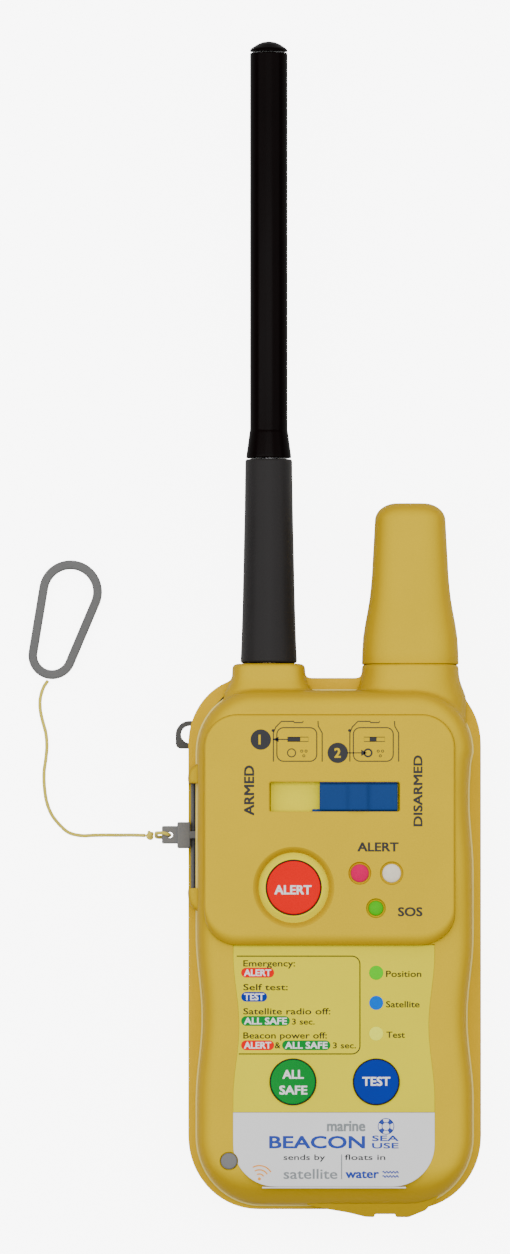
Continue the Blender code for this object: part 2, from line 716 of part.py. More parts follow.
def make_alert_button(pivot):
    top, r = COVER_TOP - 0.5, ALERT_RADIUS
    base, stem = FACE_Z + 0.7, POCKET_FLOOR + 1.4
    profile = [(0, top), (r - 0.8, top - 0.1), (r - 0.2, top - 0.35), (r, top - 0.8), (r, base)]
    profile += [(3.0, base), (3.0, stem), (0, stem)]
    hang(pivot, turned("alert_button", profile, ALERT_CENTRE, "red", along="Z", steps=24))


def make_alert_seal():
    """A ring with a raised inner and outer lip, round the button in its well."""
    outer, inner = ALERT_WELL_RADIUS - GAP, ALERT_RADIUS + POCKET_GAP
    base, lip, floor = FACE_Z + GAP, 37.9, 37.6
    profile = [(outer - 0.5, lip), (outer, lip - 0.5), (outer, base), (inner, base), (inner, lip - 0.4)]
    profile += [(inner + 0.5, lip), (inner + 0.8, floor), (outer - 1.0, floor)]
    turned("alert_seal", profile, ALERT_CENTRE, "pale_yellow", along="Z", steps=24, tube=True)


def make_domes():
    """Snap domes: shallow metal caps that flatten when their key is pressed."""
    base = POCKET_FLOOR + 0.25
    top = base + DOME_HEIGHT
    for name, place, radius in DOMES:
        profile = [(0, top), (radius * 0.5, top - 0.15), (radius, base + 0.2), (radius, base)]
        profile += [(radius - 0.5, base), (radius * 0.45, top - 0.4), (0, top - 0.3)]
        turned(name, profile, place, "steel", along="Z", steps=14)


def make_keypad(pivots):
    low, top = FACE_Z - GAP, FACE_Z
    foil = prism("keypad_foil", panel_outline(FOIL_TOP, FOIL_SPLIT + 0.05), low, top, "pale_yellow")
    outline = panel_outline(FOIL_SPLIT - 0.05, LABEL_BOTTOM, 0.0, 12.0)
    label = prism("info_label", outline, low, top, "label_grey")
    through = (FACE_Z - 1, FACE_Z + 1)
    cut(label, cylinder("label_notch", WATER_CONTACT, CONTACT_RADIUS + GAP, *through, sides=24))
    for name, material, place in KEYS:
        cut(foil, cylinder(name + "_foil_hole", place, KEY_RADIUS + GAP, *through, sides=24))
        hang(pivots[name], make_key(name, place, material))
    for name, y, material in WINDOWS:
        place = (WINDOW_X, y)
        cut(foil, cylinder(name + "_foil_hole", place, WINDOW_RADIUS + GAP, *through, sides=SMALL_SIDES))
        cylinder(name, place, WINDOW_RADIUS, 29.0, top + 0.05, material, sides=SMALL_SIDES)


def make_key(name, place, material):
    r, top, base, stem = KEY_RADIUS, FACE_Z + 0.75, FACE_Z - GAP, POCKET_FLOOR + 1.3
    profile = [(0, top), (r - 0.6, top - 0.05), (r - 0.15, top - 0.25), (r, top - 0.55), (r, base)]
    profile += [(2.0, base), (2.0, stem), (0, stem)]
    return turned(name, profile, place, material, along="Z", steps=24)


# ---------------------------------------------------------------- antennas


def make_whip_antenna():
    centre = (WHIP_X, ANTENNA_Z)
    foot = BOSS_TOP + GAP
    joint = SLEEVE_TOP + GAP
    bore = CORE_RADIUS + GAP
    stud_bore = STUD_RADIUS + 0.4
    r, base = WHIP_RADIUS, WHIP_FOOT_RADIUS
    profile = [(base, SLEEVE_TOP), (base + 0.3, SLEEVE_TOP - 0.4), (8.1, foot + 0.5), (7.8, foot)]
    profile += [(stud_bore, foot), (stud_bore, CORE_START), (bore, CORE_START + 1), (bore, SLEEVE_TOP)]
    turned("antenna_sleeve", profile, centre, "sleeve", tube=True)
    profile = [(r, WHIP_TOP), (r, FOOT_TOP), (base, joint + 0.5), (base, joint)]
    profile += [(bore, joint), (bore, WHIP_TOP)]
    turned("antenna_whip", profile, centre, "black", tube=True)
    tip = WHIP_TOP + GAP
    profile = [(0, TIP_TOP), (1.6, TIP_TOP - 0.25), (3.0, TIP_TOP - 0.9)]
    profile += [(r - 0.3, tip + 0.9), (r, tip + 0.4), (r, tip), (0, tip)]
    turned("antenna_tip", profile, centre, "black")
    core_end = WHIP_TOP - GAP
    cylinder("antenna_core", centre, CORE_RADIUS, CORE_START, core_end, "steel", along="Y", sides=SMALL_SIDES)
    make_antenna_seat(centre)


def make_antenna_seat(centre):
    """The stud and socket that hold the whip antenna, its O-ring, and the lead to the board."""
    r, start, end = STUD_RADIUS, SOCKET_SPAN[0] + 3, CORE_START - 0.4
    profile = [(0, end), (r - 0.6, end), (r, end - 0.6), (r, start), (0, start)]
    turned("antenna_stud", profile, centre, "brass", steps=14)
    start, end = SOCKET_SPAN
    bore = STUD_RADIUS + 0.4
    profile = [(SOCKET_RADIUS, end), (SOCKET_RADIUS, start), (bore, start), (bore, end)]
    turned("antenna_socket", profile, centre, "brass", steps=14, tube=True)
    radius, section, ring_y = 4.9, 0.7, BOSS_TOP - 0.85
    ring = []
    for k in range(8):
        a = -k * math.pi / 4
        ring.append((radius + section * math.cos(a), ring_y + section * math.sin(a)))
    turned("antenna_o_ring", ring, centre, "rubber", steps=14, tube=True)
    lead = [(WHIP_X, 60.5, ANTENNA_Z), (WHIP_X, 58.5, ANTENNA_Z), (WHIP_X + 1.5, 56.6, 20.5)]
    lead += [(WHIP_X + 4.5, 55.6, 23.5), (WHIP_X + 6.5, 53.0, 25.4), (WHIP_X + 7.0, 49.0, 25.6)]
    tube("antenna_lead", smooth_route(lead, 2.4), 0.9, "rubber")


def make_radome():
    """An open lofted surface that Solidify thickens inwards."""
    centre = (RADOME_X, ANTENNA_Z)
    rings = [oval(centre, NECK_HALF_WIDTH, NECK_HALF_DEPTH, BOSS_TOP + 0.05)]
    for y, half in RADOME_RINGS:
        rings.append(oval(centre, half, half * RADOME_FLATNESS, y))
    shoulder, widest = RADOME_RINGS[-1]
    for angle in (20, 40, 60, 80):
        a = math.radians(angle)
        half = widest - 5.6 * (1 - math.cos(a))
        y = shoulder + (RADOME_TOP - shoulder) * math.sin(a)
        rings.append(oval(centre, half, half * RADOME_FLATNESS, y))
    radome = loft("satellite_radome", rings, "yellow")
    bm = bmesh.new()
    bm.from_mesh(radome.data)
    bottom = min(bm.faces, key=lambda f: f.calc_center_median().y)
    bmesh.ops.delete(bm, geom=[bottom], context="FACES_ONLY")
    bm.to_mesh(radome.data)
    bm.free()
    solidify = radome.modifiers.new("Wall", "SOLIDIFY")
    solidify.thickness = RADOME_WALL * MM
    solidify.offset = -1.0


def make_satellite_antenna():
    r, top, step, start = 7.0, 116.0, 80.0, 76.0
    foot = r + 0.6
    profile = [(0, top), (r - 0.4, top), (r, top - 0.4), (r, step), (foot, step), (foot, start), (0, start)]
    turned("satellite_antenna", profile, (RADOME_X, ANTENNA_Z), "ceramic", steps=24)


# ---------------------------------------------------------------- release gear


def make_retaining_bar():
    cylinder("retaining_bar", (BAR_X, BAR_Z), BAR_RADIUS, *BAR_SPAN, "steel", along="Y", sides=SMALL_SIDES)


def make_pull_tab():
    """A grey clip with two prongs that straddle the bar, and a narrow tail with a hole for the cord."""
    low, high = BAR_Z - TAB_HALF_DEPTH, BAR_Z + TAB_HALF_DEPTH
    tab = box("pull_tab", (-45.2, 27.7, low), (-42.5, 35.2, high), "grey")
    tail = box("tab_tail", (-49.6, 29.0, BAR_Z - 2.0), (-44.5, 34.1, BAR_Z + 2.0))
    prongs = box("tab_prongs", (-43.0, TAB_Y - 1.2, low + 0.3), (-38.9, TAB_Y + 1.2, high - 0.3))
    join(tab, tail, prongs)
    jaws = box("tab_jaws", (-42.2, TAB_Y - 3, BAR_Z - 1.1), (-37.0, TAB_Y + 3, BAR_Z + 1.1))
    hole = cylinder("tab_hole", (TAB_HOLE_X, TAB_Y), 1.1, low - 1, high + 1, sides=SMALL_SIDES)
    cut(tab, jaws, hole)
    return tab


def make_cord_knot():
    profile = [(0, 1.35), (0.9, 1.0), (1.3, 0.4), (1.3, -0.4), (0.9, -1.0), (0, -1.35)]
    knot = turned("cord_knot", profile, (0.0, 0.0), "cord", along="Z", steps=14)
    knot.location = [c * MM for c in KNOT_PLACE]
    knot.rotation_euler = (0.0, math.radians(KNOT_LEAN), 0.0)
    return knot


def make_release_gear(pivot):
    loop = tube("tab_loop", tab_loop_route(), CORD_RADIUS, "cord", closed=True)
    cord = tube("lanyard_cord", smooth_route(CORD_ROUTE, 1.5), CORD_RADIUS, "cord")
    hang(pivot, make_pull_tab(), loop, make_cord_knot(), cord, make_pull_ring())


def tab_loop_route():
    """A closed loop of cord through the tab's hole, over and under its tail, and back to the knot."""
    over, under = BAR_Z + 2.8, BAR_Z - 2.8
    side = 0.55
    corners = [
        (-51.2, TAB_Y + side, over - 1.6),
        (-49.4, TAB_Y + side, over),
        (-47.9, TAB_Y + 0.2, over - 0.1),
        (TAB_HOLE_X, TAB_Y, BAR_Z),
        (-47.9, TAB_Y - 0.2, under + 0.1),
        (-49.4, TAB_Y - side, under),
        (-51.0, TAB_Y - side, under + 1.0),
        (-51.25, TAB_Y - 0.1, BAR_Z - 0.4),
    ]
    return smooth_route([*corners, corners[0]], 1.4)[:-1]


def ring_outline(offset, steps=10):
    """A pear outline: two arcs of unlike radius joined by their common tangents."""
    along = Vector(RING_BIG[:2]) - Vector(RING_SMALL[:2])
    lean = math.atan2(along.y, along.x)
    spread = math.acos((RING_SMALL[2] - RING_BIG[2]) / along.length)
    arcs = [(RING_BIG, lean - spread, lean + spread)]
    arcs.append((RING_SMALL, lean + spread, lean + 2 * math.pi - spread))
    points = []
    for (x, y, radius), first, last in arcs:
        for i in range(steps + 1):
            a = first + (last - first) * i / steps
            points.append((x + (radius + offset) * math.cos(a), y + (radius + offset) * math.sin(a)))
    return points


def make_pull_ring():
    half = RING_HALF_BAND
    ring = prism("pull_ring", ring_outline(half), 0.0, 2 * half, "grey", smooth=True)
    opening = prism("pull_ring_opening", ring_outline(-half), -1.0, 2 * half + 1)
    cut(ring, opening)
    return ring


def make_lug():
    """A flat eye held by the upper left case screw."""
    outline = rounded(LUG_LOW, LUG_HIGH, [(3.8, 3.8), (4.0, 4.0), (1.6, 1.6), (3.8, 3.8)], 5)
    lug = prism("lanyard_lug", outline, *LUG_Z, "grey", smooth=True)
    through = (LUG_Z[0] - 1, LUG_Z[1] + 1)
    eye = cylinder("lug_eye", LUG_EYE, 2.5, *through)
    hole = cylinder("lug_screw_hole", SCREW_PLACES[0], SCREW_HOLE_RADIUS, *through, sides=SMALL_SIDES)
    cut(lug, eye, hole)


# ---------------------------------------------------------------- inside


def make_electronics():
    box("main_board", BOARD_LOW, BOARD_HIGH, "board")
    top = BOARD_HIGH[2] + GAP
    box("shield_can", (-24.0, -30.0, top), (2.0, 2.0, 26.9), "steel")
    box("positioning_antenna", (4.0, 28.0, top), (22.0, 46.0, top + 4.0), "ceramic")
    reed_z = top + REED_RADIUS + 0.1
    armed = SLIDER_MIDDLE - SLIDER_TRAVEL
    middle = (SLOT_LOW[1] + SLOT_HIGH[1]) / 2
    reeds = [
        ("slider_reed_switch", (middle, reed_z), armed, "X"),
        ("tab_reed_switch", (-27.0, reed_z), TAB_Y, "Y"),
    ]
    for name, centre, at, along in reeds:
        span = (at - REED_LENGTH / 2, at + REED_LENGTH / 2)
        cylinder(name, centre, REED_RADIUS, *span, "glass", along=along, sides=SMALL_SIDES)


def make_cells():
    r, pole = CELL_RADIUS, CELL_POLE_RADIUS
    places = [(x, start) for start in CELL_STARTS for x in (-CELL_X, CELL_X)]
    for i, (x, start) in enumerate(places, 1):
        end = start + CELL_LENGTH
        profile = [(0, end + 1.0), (pole, end + 1.0), (pole, end), (r - 0.6, end), (r, end - 0.6)]
        profile += [(r, start + 0.6), (r - 0.6, start), (0, start)]
        turned(f"battery_cell_{i}", profile, (x, CELL_Z), "cell", steps=14)


def make_pivot(name, place):
    """An empty on a joint's axis, which the pieces that move together are parented to."""
    pivot = bpy.data.objects.new(name, None)
    pivot.location = [c * MM for c in place]
    pivot.empty_display_size = 4 * MM
    PARTS.objects.link(pivot)
    return pivot


def hang(pivot, *pieces):
    for piece in pieces:
        piece.parent = pivot
        piece.matrix_parent_inverse = Matrix.Translation(-Vector(pivot.location))


for old in list(bpy.data.objects):
    bpy.data.objects.remove(old)
PARTS = new_collection("emergency_position_beacon")
CUTTERS = new_collection("cutters", hidden=True)
make_materials()
slide_pivot = make_pivot("arming_slide_pivot", (SLIDER_MIDDLE, (SLOT_LOW[1] + SLOT_HIGH[1]) / 2, SLOT_LIP_Z))
alert_pivot = make_pivot("alert_press_pivot", (*ALERT_CENTRE, COVER_TOP))
key_pivots = {name: make_pivot(name + "_pivot", (*place, FACE_Z)) for name, _, place in KEYS}
tab_pivot = make_pivot("tab_pull_pivot", (-45.0, TAB_Y, BAR_Z))
make_rear_shell()
make_gasket()
make_front_shell()
make_water_contact()
make_screws()
make_panel_cover()
make_leds()
make_slider(slide_pivot)
make_alert_button(alert_pivot)
make_alert_seal()
make_domes()
make_keypad(key_pivots)
make_whip_antenna()
make_radome()
make_satellite_antenna()
make_retaining_bar()
make_release_gear(tab_pivot)
make_lug()
make_electronics()
make_cells()
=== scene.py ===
"""Looks for an emergency position beacon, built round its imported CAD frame.

Lengths are in millimetres, and MM turns them into metres. The beacon lies on its back:
+X to its right, +Y towards the antennas, +Z out of its control panel.
"""

import math

import bmesh
import bpy
from mathutils import Matrix, Vector


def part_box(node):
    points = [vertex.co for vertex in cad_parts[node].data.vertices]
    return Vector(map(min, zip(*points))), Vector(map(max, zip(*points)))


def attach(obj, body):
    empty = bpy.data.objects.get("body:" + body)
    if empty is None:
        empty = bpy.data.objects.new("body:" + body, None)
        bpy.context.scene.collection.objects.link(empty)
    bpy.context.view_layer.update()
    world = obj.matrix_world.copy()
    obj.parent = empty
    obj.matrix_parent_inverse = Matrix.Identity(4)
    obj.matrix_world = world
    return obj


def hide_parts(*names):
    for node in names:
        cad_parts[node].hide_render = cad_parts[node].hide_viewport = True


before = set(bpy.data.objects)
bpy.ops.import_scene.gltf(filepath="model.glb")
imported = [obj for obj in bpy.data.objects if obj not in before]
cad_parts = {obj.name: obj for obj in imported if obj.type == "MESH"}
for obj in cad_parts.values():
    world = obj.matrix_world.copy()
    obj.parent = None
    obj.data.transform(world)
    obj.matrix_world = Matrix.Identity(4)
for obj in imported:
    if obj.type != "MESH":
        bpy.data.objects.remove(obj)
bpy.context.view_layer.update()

MM = 0.001
OVAL_STEPS = 96

# Camera: a long lens above the panel, tilted so that it sees a little of the lower end
VIEW_CENTRE = (-22.85, 90.85, 28.0)
VIEW_HEIGHT = 359.3
VIEW_DISTANCE = 5000.0
VIEW_TILT = 1.8
SENSOR = 36.0

# Base colours, as linear RGB
COLOURS = {
    "front_yellow": (0.61, 0.415, 0.0),
    "rear_yellow": (0.68, 0.43, 0.0),
    "foil_yellow": (0.71, 0.61, 0.0),
    # The foil's yellow made a little lighter for pieces deep in recesses: painted light against
    # their shade
    "lightened_recess_yellow": (0.75, 0.65, 0.0),
    "label_grey": (0.74, 0.74, 0.74),
    "slider_blue": (0.012, 0.046, 0.17),
    "alert_red": (0.74, 0.0, 0.0),
    "safe_green": (0.0, 0.22, 0.030),
    "test_blue": (0.006, 0.026, 0.28),
    "lens_red": (0.62, 0.0, 0.09),
    "lens_white": (0.74, 0.68, 0.55),
    "lens_green": (0.055, 0.45, 0.0),
    "window_green": (0.07, 0.57, 0.0),
    "window_blue": (0.0, 0.12, 0.62),
    "window_pale": (0.82, 0.84, 0.06),
    "antenna_satin": (0.017, 0.0155, 0.0155),
    "antenna_gloss": (0.002, 0.001, 0.001),
    "fitting_grey": (0.125, 0.125, 0.124),
    "tab_grey": (0.17, 0.168, 0.165),
    "lug_grey": (0.080, 0.080, 0.079),
    "rubber_black": (0.012, 0.012, 0.012),
    "cord_khaki": (0.66, 0.54, 0.05),
    "steel": (0.56, 0.56, 0.57),
    "contact_grey": (0.11, 0.11, 0.11),
    "brass": (0.70, 0.50, 0.20),
    "board_green": (0.02, 0.16, 0.06),
    "ceramic": (0.70, 0.66, 0.55),
    "cell_wrap": (0.10, 0.20, 0.45),
    "reed_glass": (0.45, 0.62, 0.58),
    # A pale yellow for the shell's lip: a painted highlight along its edge
    "rim_highlight_pale": (0.86, 0.74, 0.22),
    # A darker gold that the yellow shells turn to on faces that tilt away from up: painted shade
    "painted_shade_gold": (0.48, 0.295, 0.0),
    "ink_dark": (0.019, 0.019, 0.023),
    "ink_white": (0.80, 0.80, 0.80),
    "ink_grey": (0.20, 0.22, 0.23),
    "ink_blue": (0.012, 0.042, 0.32),
    "ink_olive": (0.020, 0.016, 0.001),
    "ink_orange": (0.80, 0.30, 0.01),
}
INKS = [name for name in COLOURS if name.startswith("ink_")]
SLOW_SCALE = 60.0
# The usual range of two noises added, and the steepness at which a colour starts to turn to its
# painted shade
SUM_RANGE = (0.75, 1.25)
PAINTED_SHADE_RANGE = (0.70, 0.985)


def specular(level):
    return {"Specular IOR Level": level}


METAL = {"Metallic": 1.0}
# Finishes that differ only in colour: names, roughness, variation of colour,
# scale of the grain, its depth in millimetres, and values of the shader's sockets
FINISH_GROUPS = [
    (("front_yellow", "rear_yellow"), 0.48, 0.035, 2400.0, 0.016, specular(0.05)),
    (("lightened_recess_yellow", "rim_highlight_pale"), 0.48, 0.035, 2400.0, 0.016, specular(0.05)),
    (("foil_yellow",), 0.42, 0.025, 4200.0, 0.006, specular(0.05)),
    (("label_grey",), 0.40, 0.02, 4200.0, 0.005, specular(0.05)),
    (("slider_blue", "alert_red"), 0.38, 0.06, 3200.0, 0.008, specular(0.02)),
    (("safe_green", "test_blue"), 0.38, 0.06, 3200.0, 0.008, specular(0.02)),
    (("lens_red", "lens_white", "lens_green"), 0.35, 0.05, 900.0, 0.004, specular(0.0)),
    (("window_green", "window_blue", "window_pale"), 0.35, 0.04, 1500.0, 0.003, specular(0.0)),
    (("antenna_satin",), 0.42, 0.12, 3000.0, 0.010, specular(0.08)),
    (("antenna_gloss",), 0.20, 0.15, 2200.0, 0.002, specular(0.015)),
    (("fitting_grey", "tab_grey"), 0.50, 0.07, 2600.0, 0.020, specular(0.05)),
    (("lug_grey",), 0.52, 0.07, 2600.0, 0.020, specular(0.05)),
    (("rubber_black",), 0.70, 0.15, 1800.0, 0.030, specular(0.25)),
    (("cord_khaki",), 0.85, 0.16, 5200.0, 0.040, {"Sheen Weight": 0.3, "Sheen Roughness": 0.5}),
    (("steel",), 0.34, 0.06, 3800.0, 0.006, METAL),
    (("contact_grey",), 0.45, 0.10, 3800.0, 0.010, specular(0.5)),
    (("brass",), 0.32, 0.06, 3000.0, 0.006, METAL),
    (("board_green",), 0.40, 0.12, 700.0, 0.020, {"Coat Weight": 0.3}),
    (("ceramic",), 0.55, 0.04, 2600.0, 0.015, {}),
    (("cell_wrap",), 0.30, 0.05, 900.0, 0.008, {}),
    (("reed_glass",), 0.10, 0.05, 600.0, 0.002, {}),
    (INKS, 0.50, 0.05, 5000.0, 0.003, specular(0.2)),
]


# ---------------------------------------------------------------- materials


class Nodes:
    """Adds nodes to a material and links them by socket."""

    def __init__(self, material):
        self.tree = material.node_tree

    def add(self, kind, inputs=None, **settings):
        node = self.tree.nodes.new(kind)
        for name, value in settings.items():
            setattr(node, name, value)
        for key, value in (inputs or {}).items():
            if isinstance(value, bpy.types.NodeSocket):
                self.tree.links.new(value, node.inputs[key])
            else:
                node.inputs[key].default_value = value
        return node

    def noise(self, place, scale, detail=3.0):
        inputs = {"Vector": place, "Scale": scale, "Detail": detail}
        return self.add("ShaderNodeTexNoise", inputs).outputs["Fac"]

    def spread(self, value, low, high, start=0.3, end=0.7):
        """The value's range start to end, mapped to low to high."""
        inputs = {"Value": value, "From Min": start, "From Max": end, "To Min": low, "To Max": high}
        return self.add("ShaderNodeMapRange", inputs).outputs["Result"]

    def mix(self, factor, first, second):
        """Two colours mixed by factor; each is three numbers or a socket."""
        ends = [c if isinstance(c, bpy.types.NodeSocket) else (*c, 1.0) for c in (first, second)]
        inputs = {0: factor, 6: ends[0], 7: ends[1]}
        return self.add("ShaderNodeMix", inputs, data_type="RGBA").outputs[2]


def finish(name, roughness, variation, grain, depth, values, painted_shade=None):
    """A moulded or coated surface with fine grain and slow changes of colour.

    Where it faces away from straight up or down, its colour turns towards the painted shade colour:
    shade painted on its sides.
    """
    colour = COLOURS[name]
    material = bpy.data.materials.new(name)
    material.use_nodes = True
    nodes = Nodes(material)
    shader = material.node_tree.nodes["Principled BSDF"]
    place = nodes.add("ShaderNodeTexCoord").outputs["Object"]
    fine = nodes.noise(place, grain)
    slow = nodes.noise(place, SLOW_SCALE, 5.0)
    both = nodes.add("ShaderNodeMath", {0: fine, 1: slow}, operation="ADD").outputs[0]
    dark = [c * (1 - variation) for c in colour]
    light = [c * (1 + variation) for c in colour]
    surface = nodes.mix(nodes.spread(both, 0.0, 1.0, *SUM_RANGE), dark, light)
    # Painted shade: the colour darkens to gold where the surface faces sideways
    if painted_shade:
        normal = nodes.add("ShaderNodeNewGeometry").outputs["Normal"]
        upward = nodes.add("ShaderNodeSeparateXYZ", {0: normal}).outputs["Z"]
        level = nodes.add("ShaderNodeMath", {0: upward}, operation="ABSOLUTE").outputs[0]
        surface = nodes.mix(nodes.spread(level, 1.0, 0.0, *PAINTED_SHADE_RANGE), surface, painted_shade)
    links = material.node_tree.links
    links.new(surface, shader.inputs["Base Color"])
    rough = nodes.spread(both, roughness - 0.05, roughness + 0.05, *SUM_RANGE)
    links.new(rough, shader.inputs["Roughness"])
    bump = nodes.add("ShaderNodeBump", {"Height": fine, "Distance": depth * MM, "Strength": 1.0})
    links.new(bump.outputs["Normal"], shader.inputs["Normal"])
    for socket, value in values.items():
        shader.inputs[socket].default_value = value
    material.diffuse_color = (*colour, 1.0)
    return material


def make_finishes():
    made = {}
    for names, roughness, variation, grain, depth, values in FINISH_GROUPS:
        for name in names:
            # The yellow shells get painted shade on their sloping and upright faces
            painted_shade = COLOURS["painted_shade_gold"] if name in ("front_yellow", "rear_yellow") else None
            made[name] = finish(name, roughness, variation, grain, depth, values, painted_shade)
    return made


# ---------------------------------------------------------------- mesh helpers


def span(node):
    """A CAD node's lowest and highest corners, in millimetres."""
    low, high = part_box(node)
    return low / MM, high / MM


def middle(node):
    low, high = span(node)
    return (low + high) / 2


def radius_of(node):
    """Half the width across X of a round CAD node, in millimetres."""
    low, high = span(node)
    return (high.x - low.x) / 2


def add_to_scene(obj):
    bpy.context.scene.collection.objects.link(obj)


def new_object(name, bm, finish_name=None, sharp=35.0):
    """The bmesh, in millimetres, as an object in metres."""
    bmesh.ops.recalc_face_normals(bm, faces=bm.faces)
    bmesh.ops.transform(bm, matrix=Matrix.Scale(MM, 4), verts=bm.verts)
    mesh = bpy.data.meshes.new(name)
    bm.to_mesh(mesh)
    bm.free()
    obj = bpy.data.objects.new(name, mesh)
    add_to_scene(obj)
    if finish_name:
        mesh.materials.append(FINISHES[finish_name])
        shade(obj, sharp)
    return obj


def shade(obj, sharp=35.0):
    obj.data.shade_smooth()
    obj.data.set_sharp_from_angle(angle=math.radians(sharp))


def skin(rings, closed=False):
    """A bmesh through rings of points: capped at both ends or, if closed, joined end to end."""
    bm = bmesh.new()
    loops = [[bm.verts.new(p) for p in ring] for ring in rings]
    pairs = list(zip(loops, loops[1:]))
    if closed:
        pairs.append((loops[-1], loops[0]))
    for first, second in pairs:
        for i in range(len(first)):
            j = (i + 1) % len(first)
            bm.faces.new((first[i], first[j], second[j], second[i]))
    if not closed:
        bm.faces.new(loops[0])
        bm.faces.new(loops[-1])
    return bm


def eased(points, reach, steps=4, closed=False):
    """The polyline with each corner turned into a small curve."""
    points = [Vector(p) for p in points]
    result = []
    for i, p in enumerate(points):
        if not closed and i in (0, len(points) - 1):
            result.append(p)
            continue
        before, after = points[i - 1] - p, points[(i + 1) % len(points)] - p
        start = p + before.normalized() * min(reach, before.length / 2.2)
        end = p + after.normalized() * min(reach, after.length / 2.2)
        for k in range(steps + 1):
            t = k / steps
            result.append(start * (1 - t) ** 2 + 2 * p * t * (1 - t) + end * t**2)
    return result


def turned(name, profile, centre, finish_name=None, along="Z", steps=72, closed=False):
    """A turned piece: profile holds (radius, height), and centre the two other coordinates."""
    rings = []
    for radius, height in profile:
        ring = circle(centre, radius, steps)
        rings.append([(u, v, height) if along == "Z" else (u, height, v) for u, v in ring])
    bm = skin(rings, closed)
    bmesh.ops.remove_doubles(bm, verts=bm.verts, dist=1e-4)
    return new_object(name, bm, finish_name)


def soft_box(name, low, high, radius, finish_name=None, segments=4):
    bm = bmesh.new()
    bmesh.ops.create_cube(bm, size=1.0)
    low, high = Vector(low), Vector(high)
    matrix = Matrix.Translation((low + high) / 2) @ Matrix.Diagonal((*(high - low), 1.0))
    bmesh.ops.transform(bm, matrix=matrix, verts=bm.verts)
    if radius:
        edges = bm.edges[:]
        shape = {"segments": segments, "profile": 0.5, "affect": "EDGES"}
        bmesh.ops.bevel(bm, geom=edges, offset=radius, **shape)
    return new_object(name, bm, finish_name)


def plain_box(name, low, high):
    return soft_box(name, low, high, 0.0)


def plate(name, outline, low, high, edge=0.0, finish_name=None):
    """A flat outline with thickness; edge rounds its upper rim."""
    levels = [(low, 0.0), (high, 0.0)]
    if edge:
        levels[1:] = [(high - edge * (1 - sine), edge * fall) for fall, sine in quarter_turn(4)]
    return dished(name, outline, levels, finish_name)


def dished(name, outline, levels, finish_name=None):
    """A solid through copies of the outline, each (height, how far it is pulled in)."""
    rings = [[(x, y, z) for x, y in pulled_in(outline, inset)] for z, inset in levels]
    return new_object(name, skin(rings), finish_name)


def quarter_turn(steps, first=0):
    """Even steps from 0 to 90 degrees, as (1 - cosine, sine)."""
    angles = [math.pi / 2 * k / steps for k in range(first, steps + 1)]
    return [(1 - math.cos(a), math.sin(a)) for a in angles]


def pulled_in(outline, distance):
    """An anticlockwise outline moved inwards along its normals."""
    points = [Vector(p) for p in outline]
    result = []
    for i, p in enumerate(points):
        along = points[(i + 1) % len(points)] - points[i - 1]
        normal = Vector((-along.y, along.x)).normalized()
        result.append(p + normal * distance)
    return result


def corner(centre, radii, start, steps=14, sweep=90):
    """Points of an ellipse's arc, anticlockwise from start through sweep degrees."""
    angles = [math.radians(start + sweep * i / steps) for i in range(steps + 1)]
    (x, y), (across, up) = centre, radii
    return [(x + across * math.cos(a), y + up * math.sin(a)) for a in angles]


def square_rounded(low, high, radius, steps=14):
    """A rectangle with four alike round corners."""
    return rounded(low, high, [(radius, radius)] * 4, steps)


def rounded(low, high, corners, steps=14):
    """A rectangle whose elliptical corners are listed anticlockwise from top right."""
    tr, tl, bl, br = corners
    points = corner((high[0] - tr[0], high[1] - tr[1]), tr, 0, steps)
    points += corner((low[0] + tl[0], high[1] - tl[1]), tl, 90, steps)
    points += corner((low[0] + bl[0], low[1] + bl[1]), bl, 180, steps)
    points += corner((high[0] - br[0], low[1] + br[1]), br, 270, steps)
    return points


def circle(centre, radius, steps=72):
    turns = [2 * math.pi * i / steps for i in range(steps)]
    return [(centre[0] + radius * math.cos(a), centre[1] + radius * math.sin(a)) for a in turns]


def oval(centre, half_width, half_depth, y, power=2.6):
    """A ring of points across Y: a rounded rectangle about (x, z)."""
    points = []
    for c, s in circle((0.0, 0.0), 1.0, OVAL_STEPS):
        x = half_width * math.copysign(abs(c) ** (2 / power), c)
        z = half_depth * math.copysign(abs(s) ** (2 / power), s)
        points.append((centre[0] + x, y, centre[1] + z))
    return points


def waist(y, centre, half_length, depth):
    """How far a side is pulled in at y, by a smooth hollow about centre."""
    t = (y - centre) / half_length
    return depth * math.cos(t * math.pi / 2) ** 2 if abs(t) < 1 else 0.0


def smoothstep(value, start, end):
    t = min(1.0, max(0.0, (value - start) / (end - start)))
    return t * t * (3 - 2 * t)


def apply_modifiers(obj):
    bpy.context.view_layer.update()
    graph = bpy.context.evaluated_depsgraph_get()
    mesh = bpy.data.meshes.new_from_object(obj.evaluated_get(graph), depsgraph=graph)
    obj.modifiers.clear()
    obj.data = mesh
    return obj


def combine(target, others, operation="DIFFERENCE", sharp=35.0):
    """A Boolean with several other solids at once, which are then removed."""
    group = bpy.data.collections.new("operands")
    for other in others:
        group.objects.link(other)
    modifier = target.modifiers.new("Combine", "BOOLEAN")
    modifier.operation = operation
    modifier.operand_type = "COLLECTION"
    modifier.collection = group
    modifier.solver = "MANIFOLD"
    apply_modifiers(target)
    for other in others:
        bpy.data.objects.remove(other)
    bpy.data.collections.remove(group)
    shade(target, sharp)
    return target


